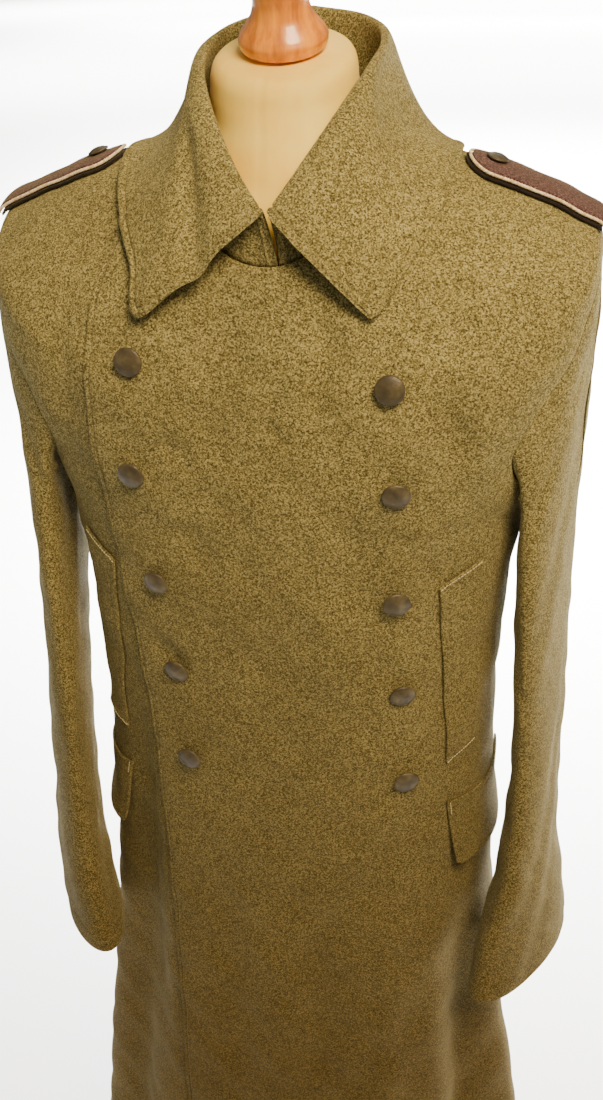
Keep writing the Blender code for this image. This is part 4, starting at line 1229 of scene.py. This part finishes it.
# Share of the radius, height
STRAP_BUTTON_PROFILE = [(0, 0), (.45, 0), (.9, .0004), (.98, .0008), (1, .0013), (.96, .0019),
                        (.86, .0022), (.80, .0024), (.60, .0033), (.35, .0038), (0, .0040)]
STRAP_LOW = .0010
PIPING_GAP = .0004
PIPING_SEAT = .0002
UNDERLAY_MARGIN = .0010
LAYER_GAP = .0006
STRAND_PITCH = .0075
STRANDS = 3
STRAND_DEPTH = .13
CORD_SIDES = 18
CORD_STEP = .0007


def ridge_row(x):
    fine = np.linspace(0, ROW_SHOULDER, 801)
    return np.interp(x, table_at(COAT_ROWS, fine)[0], fine)


def ridge_point(side, x, y, lift):
    """Point over the shoulder ridge, at x along it and y across it."""
    x, y = np.broadcast_arrays(np.asarray(x, float), np.asarray(y, float))
    row = ridge_row(x)
    hw, front, back, _, _, _, n = table_at(COAT_ROWS, row)[:7]
    cy = -y / np.where(y < 0, front, back)
    sx = (1 - np.abs(cy) ** n) ** (1 / n)
    phi = side * np.arctan2(sx, cy)
    return cloth_face(phi, row, lift * np.ones_like(x))


def strap_plate(name, node, side, half, low, thick, x0, material):
    """Strap layer with a round inner end, as a closed shell."""
    turn = np.radians(np.linspace(9, 90, 22))
    xs = np.concatenate([x0 + half * (1 - np.cos(turn)), np.linspace(x0 + half, STRAP_X1, 46)[1:-1],
                         STRAP_X1 - np.array(RIM_STEPS[::-1])])
    widths = half * np.sqrt(1 - np.clip(1 - (xs - x0) / half, 0, 1) ** 2)
    across = spread(2 * half, 22) * 2 - 1
    x = np.repeat(xs[:, None], len(across), 1)
    y = STRAP_SHIFT_Y + widths[:, None] * across
    face = ridge_point(side, x, y, low + thick)
    normal = unit(face - ridge_point(side, x, y, low))
    piece = shell(name, face, normal, thick, material)
    finish_cloth(piece, face, node)


def even_path(path, step):
    """The same path with points at an even step."""
    s = steps_along(path[:, None], 0)[:, 0]
    wanted = np.linspace(0, s[-1], int(s[-1] / step))
    return np.stack([np.interp(wanted, s, path[:, k]) for k in range(3)], -1)


def twisted_cord(name, node, path, radius, material):
    """Cord of three strands laid round each other, with closed ends."""
    path = even_path(path, CORD_STEP)
    tangent = unit(np.gradient(path, axis=0))
    across = unit(np.cross(tangent, [0, 0, 1.0]))
    above = np.cross(across, tangent)
    angle = math.tau * np.arange(CORD_SIDES) / CORD_SIDES
    run = steps_along(path[:, None], 0)
    wave = 1 + STRAND_DEPTH * (np.cos(STRANDS * (angle - run * math.tau / STRAND_PITCH)) - 1)
    circle = np.cos(angle)[:, None] * across[:, None] + np.sin(angle)[:, None] * above[:, None]
    ring = wave[..., None] * radius * circle
    points = (path[:, None] + ring).reshape(-1, 3)
    faces = grid_quads(len(path), CORD_SIDES, closed=True).tolist()
    faces.append(list(range(CORD_SIDES)))
    faces.append(list(range(len(points) - CORD_SIDES, len(points)))[::-1])
    piece = add_mesh(name, points, faces, material)
    turn_outward(piece, 0, ring[0, 0])
    stand_for(piece, node)


for side, tag in ((1, "left"), (-1, "right")):
    strap_plate("strap_underlay_%s_felt" % tag, "strap_underlay_" + tag, side,
                STRAP_HALF + UNDERLAY_MARGIN, STRAP_LOW, STRAP_UNDERLAY, STRAP_X0 - UNDERLAY_MARGIN,
                strap_felt)
    base = STRAP_LOW + STRAP_UNDERLAY + LAYER_GAP
    inset = 2 * STRAP_PIPING_R + PIPING_GAP
    strap_plate("shoulder_strap_%s_wool" % tag, "shoulder_strap_" + tag, side, STRAP_HALF - inset, base,
                STRAP_TOP, STRAP_X0 + inset, strap_top_wool)
    half = STRAP_HALF - STRAP_PIPING_R
    centre = STRAP_X0 + STRAP_HALF
    arc = np.radians(np.linspace(-90, 90, 61))
    xs = np.concatenate([np.linspace(STRAP_X1, centre, 60)[:-1], centre - half * np.cos(arc),
                         np.linspace(centre, STRAP_X1, 60)[1:]])
    ys = np.concatenate([np.full(59, -half), half * np.sin(arc), np.full(59, half)])
    path = ridge_point(side, xs, STRAP_SHIFT_Y + ys, base + STRAP_PIPING_R + PIPING_SEAT)
    twisted_cord("strap_piping_%s_cord" % tag, "strap_piping_" + tag, path, STRAP_PIPING_R, cord)
    top = base + STRAP_TOP + STRAP_BUTTON_SEAT
    place = ridge_point(side, STRAP_BUTTON_X, STRAP_SHIFT_Y, top)
    normal = unit(place - ridge_point(side, STRAP_BUTTON_X, STRAP_SHIFT_Y, 0))
    profile = [(STRAP_BUTTON_RADIUS * share, height) for share, height in STRAP_BUTTON_PROFILE]
    turned("strap_button_%s_dome" % tag, profile, 36, paint, "strap_button_" + tag,
           place, axes_on(normal, (0, 1, 0)))

# %% [markdown]
# ## Buttons
# The front has two rows of pressed domes on shanks. They hang a little forward under their own weight.
# Each is turned from one profile and set on the front's own face.

# %% Front buttons
# x and z of each button, from the top down
BUTTONS = {
    "left": [(.094, 1.265), (.100, 1.187), (.101, 1.091), (.107, 1.001), (.112, .910)],
    "right": [(-.098, 1.275), (-.101, 1.189), (-.090, 1.093), (-.080, 1.007), (-.073, .918)],
}
BUTTON_DROOP_DEG = 9.0
DROOP_SPREAD_DEG = 2.0
BUTTON_SEAT = .0006
BUTTON_PROFILE = [(0, 0), (.0028, 0), (.0030, .0021), (.0082, .0024), (.0101, .0030), (.0109, .0038),
                  (.0110, .0044), (.0105, .0052), (.0098, .0056), (.0086, .0061), (.0064, .0069),
                  (.0040, .0074), (.0018, .0077), (0, .0078)]

for tag, spots in BUTTONS.items():
    for i, (x, z) in enumerate(spots):
        row = row_at(x, z)
        phi = float(angle_at_x(np.array(row), np.array(x)))
        normal = coat_normal(phi, row)
        place = cloth_face(phi, row, front_lift(phi, row, 1) + BUTTON_SEAT)
        droop = math.radians(BUTTON_DROOP_DEG + DROOP_SPREAD_DEG * math.sin(3.1 * i + x * 40))
        tilted = unit(normal * math.cos(droop) - np.array([0, 0, 1.0]) * math.sin(droop))
        node = "button_%s_%d" % (tag, i + 1)
        turned(node + "_dome", BUTTON_PROFILE, 40, paint, node, place, axes_on(tilted))
print("front buttons:", sum(map(len, BUTTONS.values())))

# %% [markdown]
# ## Dress form
# The form is a padded torso in cream jersey with seams where the cover is joined. Its neck slopes up to
# a turned, varnished cap. Below the coat a plain pole and a round base carry it.

# %% Dress form
# name, half_width, front, back, side_z, front_drop, back_rise, squareness, slope, shift_x
FORM_ROWS = [
    ("bottom edge", .158, .104, .106, .800, 0, 0, 2.3, 0, 0),
    ("hips", .163, .110, .112, .850, 0, 0, 2.3, 0, 0),
    ("high hips", .158, .108, .106, .920, 0, 0, 2.3, 0, 0),
    ("waist", .140, .096, .090, 1.010, 0, 0, 2.2, 0, 0),
    ("ribs", .158, .108, .098, 1.100, 0, 0, 2.3, 0, 0),
    ("chest", .172, .116, .104, 1.180, 0, 0, 2.4, 0, 0),
    ("armpit", .180, .116, .104, 1.250, .010, 0, 2.5, 0, 0),
    ("shoulder side", .184, .110, .098, 1.318, .030, -.020, 2.6, 0, 0),
    ("shoulder tip", .182, .106, .090, 1.3560, .060, -.030, 2.6, 0, 0),
    ("shoulder 1", .165, .104, .086, 1.3809, .070, -.016, 2.5, 0, 0),
    ("shoulder 2", .140, .101, .081, 1.3960, .070, -.010, 2.4, 0, 0),
    ("shoulder 3", .115, .097, .074, 1.4045, .066, -.004, 2.3, 0, 0),
    ("shoulder 4", .088, .090, .064, 1.4085, .054, .004, 2.2, 0, 0),
    ("neck root", .063, .072, .058, 1.4200, .018, .006, 2.0, .04, -.002),
    ("neck 1", .0565, .061, .055, 1.4370, .004, .004, 2.0, .16, -.004),
    ("neck 2", .0555, .056, .055, 1.4550, 0, 0, 2.0, .30, -.006),
    ("neck edge", .0540, .054, .054, 1.4665, 0, 0, 2.0, .33, -.006),
    ("neck round", .0490, .049, .049, 1.4735, 0, 0, 2.0, .33, -.006),
    ("neck top", .0340, .034, .034, 1.4765, 0, 0, 2.0, .33, -.006),
]
FORM_AROUND = 120
FORM_STEPS = 170
NECK_SEAM_ROW = 12.75
FRONT_SEAM_DEG = -7.0
FORM_SEAM_DEPTH = .0008
BASE_EDGE = .006
CAP_BASE = (-.0050, -.0020, 1.4762)
CAP_TILT_DEG = 18.0
# radius and height above the neck's top
CAP_PROFILE = [
    (.0000, .0006), (.0230, .0006), (.0295, .0016), (.0325, .0050), (.0330, .0095),
    (.0310, .0140), (.0262, .0200), (.0220, .0270), (.0202, .0350), (.0205, .0430),
    (.0228, .0500), (.0222, .0570), (.0170, .0625), (.0090, .0650), (.0000, .0655),
]
POLE_RADIUS = .016
BASE_RADIUS = .185
BASE_HEIGHT = .022

rows = np.linspace(0, len(FORM_ROWS) - 1, FORM_STEPS)
phi = math.tau * np.arange(FORM_AROUND) / FORM_AROUND
row, angle = np.meshgrid(rows, phi, indexing="ij")
hw, front, back_depth, z, drop, rise, n, slope, shift = table_at(FORM_ROWS, row)
x, y, z = ring_point(hw, front, back_depth, z, drop, rise, n, angle)
face = np.stack([x + shift, y, z + slope * y], -1)
normal = away_from_middle(-grid_normal(face, closed=True), face)
away = (np.degrees(angle) - FRONT_SEAM_DEG + 180) % 360 - 180
back_away = np.degrees(angle) % 360 - 180
seams = (groove(np.radians(away) * .056, 0, FORM_SEAM_DEPTH, .0016)
         + groove(np.radians(back_away) * .06, 0, FORM_SEAM_DEPTH, .0016)
         + groove((row - NECK_SEAM_ROW) * .014, 0, FORM_SEAM_DEPTH, .0014))
face = face + normal * (seams * smooth((len(FORM_ROWS) - 1 - row) / .8))[..., None]
crown = face[-1].mean(0) + np.array([0, 0, .0003])
points = np.concatenate([face.reshape(-1, 3), [face[0].mean(0)], [crown]])
form = add_mesh("form_body_jersey", points, tube_faces(FORM_STEPS, FORM_AROUND), jersey)
turn_outward(form, FORM_AROUND * 20, normal[20, 0])
stand_for(form, "form_body")
print("form faces:", len(form.data.polygons))

# %% Cap, pole and base
tilt = math.radians(CAP_TILT_DEG)
axis = (0.0, -math.sin(tilt), math.cos(tilt))
fine = table_at([("",) + p for p in CAP_PROFILE], np.linspace(0, len(CAP_PROFILE) - 1, 99))
cap_profile = list(zip(fine[0].tolist(), fine[1].tolist()))
turned("neck_cap_turned", cap_profile, 72, wood, "neck_cap",
       CAP_BASE, axes_on(axis, (0, 1, 0)))
low, high = BASE_HEIGHT + .0004, FORM_ROWS[0][4] - .0004
pole = [(0, low)] + [(POLE_RADIUS, z) for z in (low, .3, .6, high)] + [(0, high)]
turned("stand_pole_turned", pole, 48, wood, "stand_pole")
bend = np.radians(np.linspace(0, 90, 9))
inner, flat = BASE_RADIUS - BASE_EDGE, BASE_HEIGHT - BASE_EDGE
rim = [(inner + BASE_EDGE * math.sin(b), BASE_EDGE - BASE_EDGE * math.cos(b)) for b in bend]
rim += [(inner + BASE_EDGE * math.cos(b), flat + BASE_EDGE * math.sin(b)) for b in bend]
base = [(0, 0), (.08, 0)] + rim + [(.08, BASE_HEIGHT), (0, BASE_HEIGHT)]
turned("stand_base_turned", base, 96, wood, "stand_base")

# %% [markdown]
# ## Floor, light and camera
# A pale floor copies a plain studio. The main light is warm and comes from the upper right in front, so
# the left side and the skirt fall into soft shade. Four lamps with grids light only the floor behind,
# which makes the background white. The camera stands close and high.

# %% Floor and lights
FLOOR_HALF = 92.0
# Just under the base, so that the two faces don't meet
FLOOR_Z = -.0004
floor_paint, tree, shader = new_material("pale_studio_floor", Roughness=.9)
shader.inputs["Base Color"].default_value = linear("#fbfaf7")
corners = [(x * FLOOR_HALF, y * FLOOR_HALF, FLOOR_Z) for x, y in ((-1, -1), (1, -1), (1, 1), (-1, 1))]
floor = add_mesh("studio_floor", corners, [[0, 1, 2, 3]], floor_paint)


def add_at(name, data, axes, place):
    """Lamp or camera at a place, with its axes right, up and back."""
    thing = add_object(name, data)
    turn = np.eye(4)
    turn[:3, :3], turn[:3, 3] = np.stack(axes, -1), place
    thing.matrix_world = Matrix(turn.tolist())
    return thing


def area_light(name, place, target, size, watts, color):
    """Square lamp that looks at a target."""
    data = bpy.data.lights.new(name, "AREA")
    data.size = size
    data.energy = watts
    data.color = linear(color)[:3]
    back = unit(np.array(place, float) - np.array(target, float))
    right = unit(np.cross((0, 0, 1.0), back))
    return add_at(name, data, (right, np.cross(back, right), back), place)


CHEST = (0, -.1, 1.25)
ROOM_LIGHT = .27
# Lamps with a grid that keeps their light on the floor behind: name, y, z, size, watts
FLOOR_LAMPS = [
    ("near_floor_wash", 2.6, 2.6, 3.0, 700),
    ("middle_floor_wash", 7.5, 4.0, 7.0, 2600),
    ("far_floor_wash", 24.0, 9.0, 26.0, 26000),
    ("horizon_wash", 62.0, 16.0, 56.0, 150000),
]
GRID_DEG = 100
area_light("warm_key", (.66, -.98, 2.48), CHEST, .70, 50, "#ffe8c4")
area_light("soft_fill", (-1.9, -1.6, 1.7), CHEST, 2.2, 3, "#eef0f2")
for name, y, z, size, watts in FLOOR_LAMPS:
    lamp = area_light(name, (0, y, z), (0, y + .001, 0), size, watts, "#ffffff")
    lamp.data.spread = math.radians(GRID_DEG)
world = bpy.data.worlds.new("pale_room")
world.use_nodes = True
background = world.node_tree.nodes["Background"]
background.inputs["Color"].default_value = linear("#f8f6f2")
background.inputs["Strength"].default_value = ROOM_LIGHT
bpy.context.scene.world = world

# %% Camera
EYE = np.array([.184, -.862, 1.53]) + ORIGIN_SHIFT
PITCH, YAW, ROLL = math.radians(28.0), math.radians(12.0), math.radians(1.0)
FIELD_OF_VIEW = 2 * math.atan(.5)
ahead = np.array([-math.sin(YAW) * math.cos(PITCH), math.cos(YAW) * math.cos(PITCH), -math.sin(PITCH)])
right = np.array([math.cos(YAW), math.sin(YAW), 0])
up = np.cross(right, ahead)
rolled_right = right * math.cos(ROLL) - up * math.sin(ROLL)
rolled_up = np.cross(rolled_right, ahead)
camera_data = bpy.data.cameras.new("photo_camera")
camera_data.sensor_fit = "VERTICAL"
camera_data.angle = FIELD_OF_VIEW
camera_data.clip_start = .05
camera = add_at("photo_camera", camera_data, (rolled_right, rolled_up, -ahead), EYE)
bpy.context.scene.camera = camera
print("camera at", [round(float(v), 3) for v in EYE])
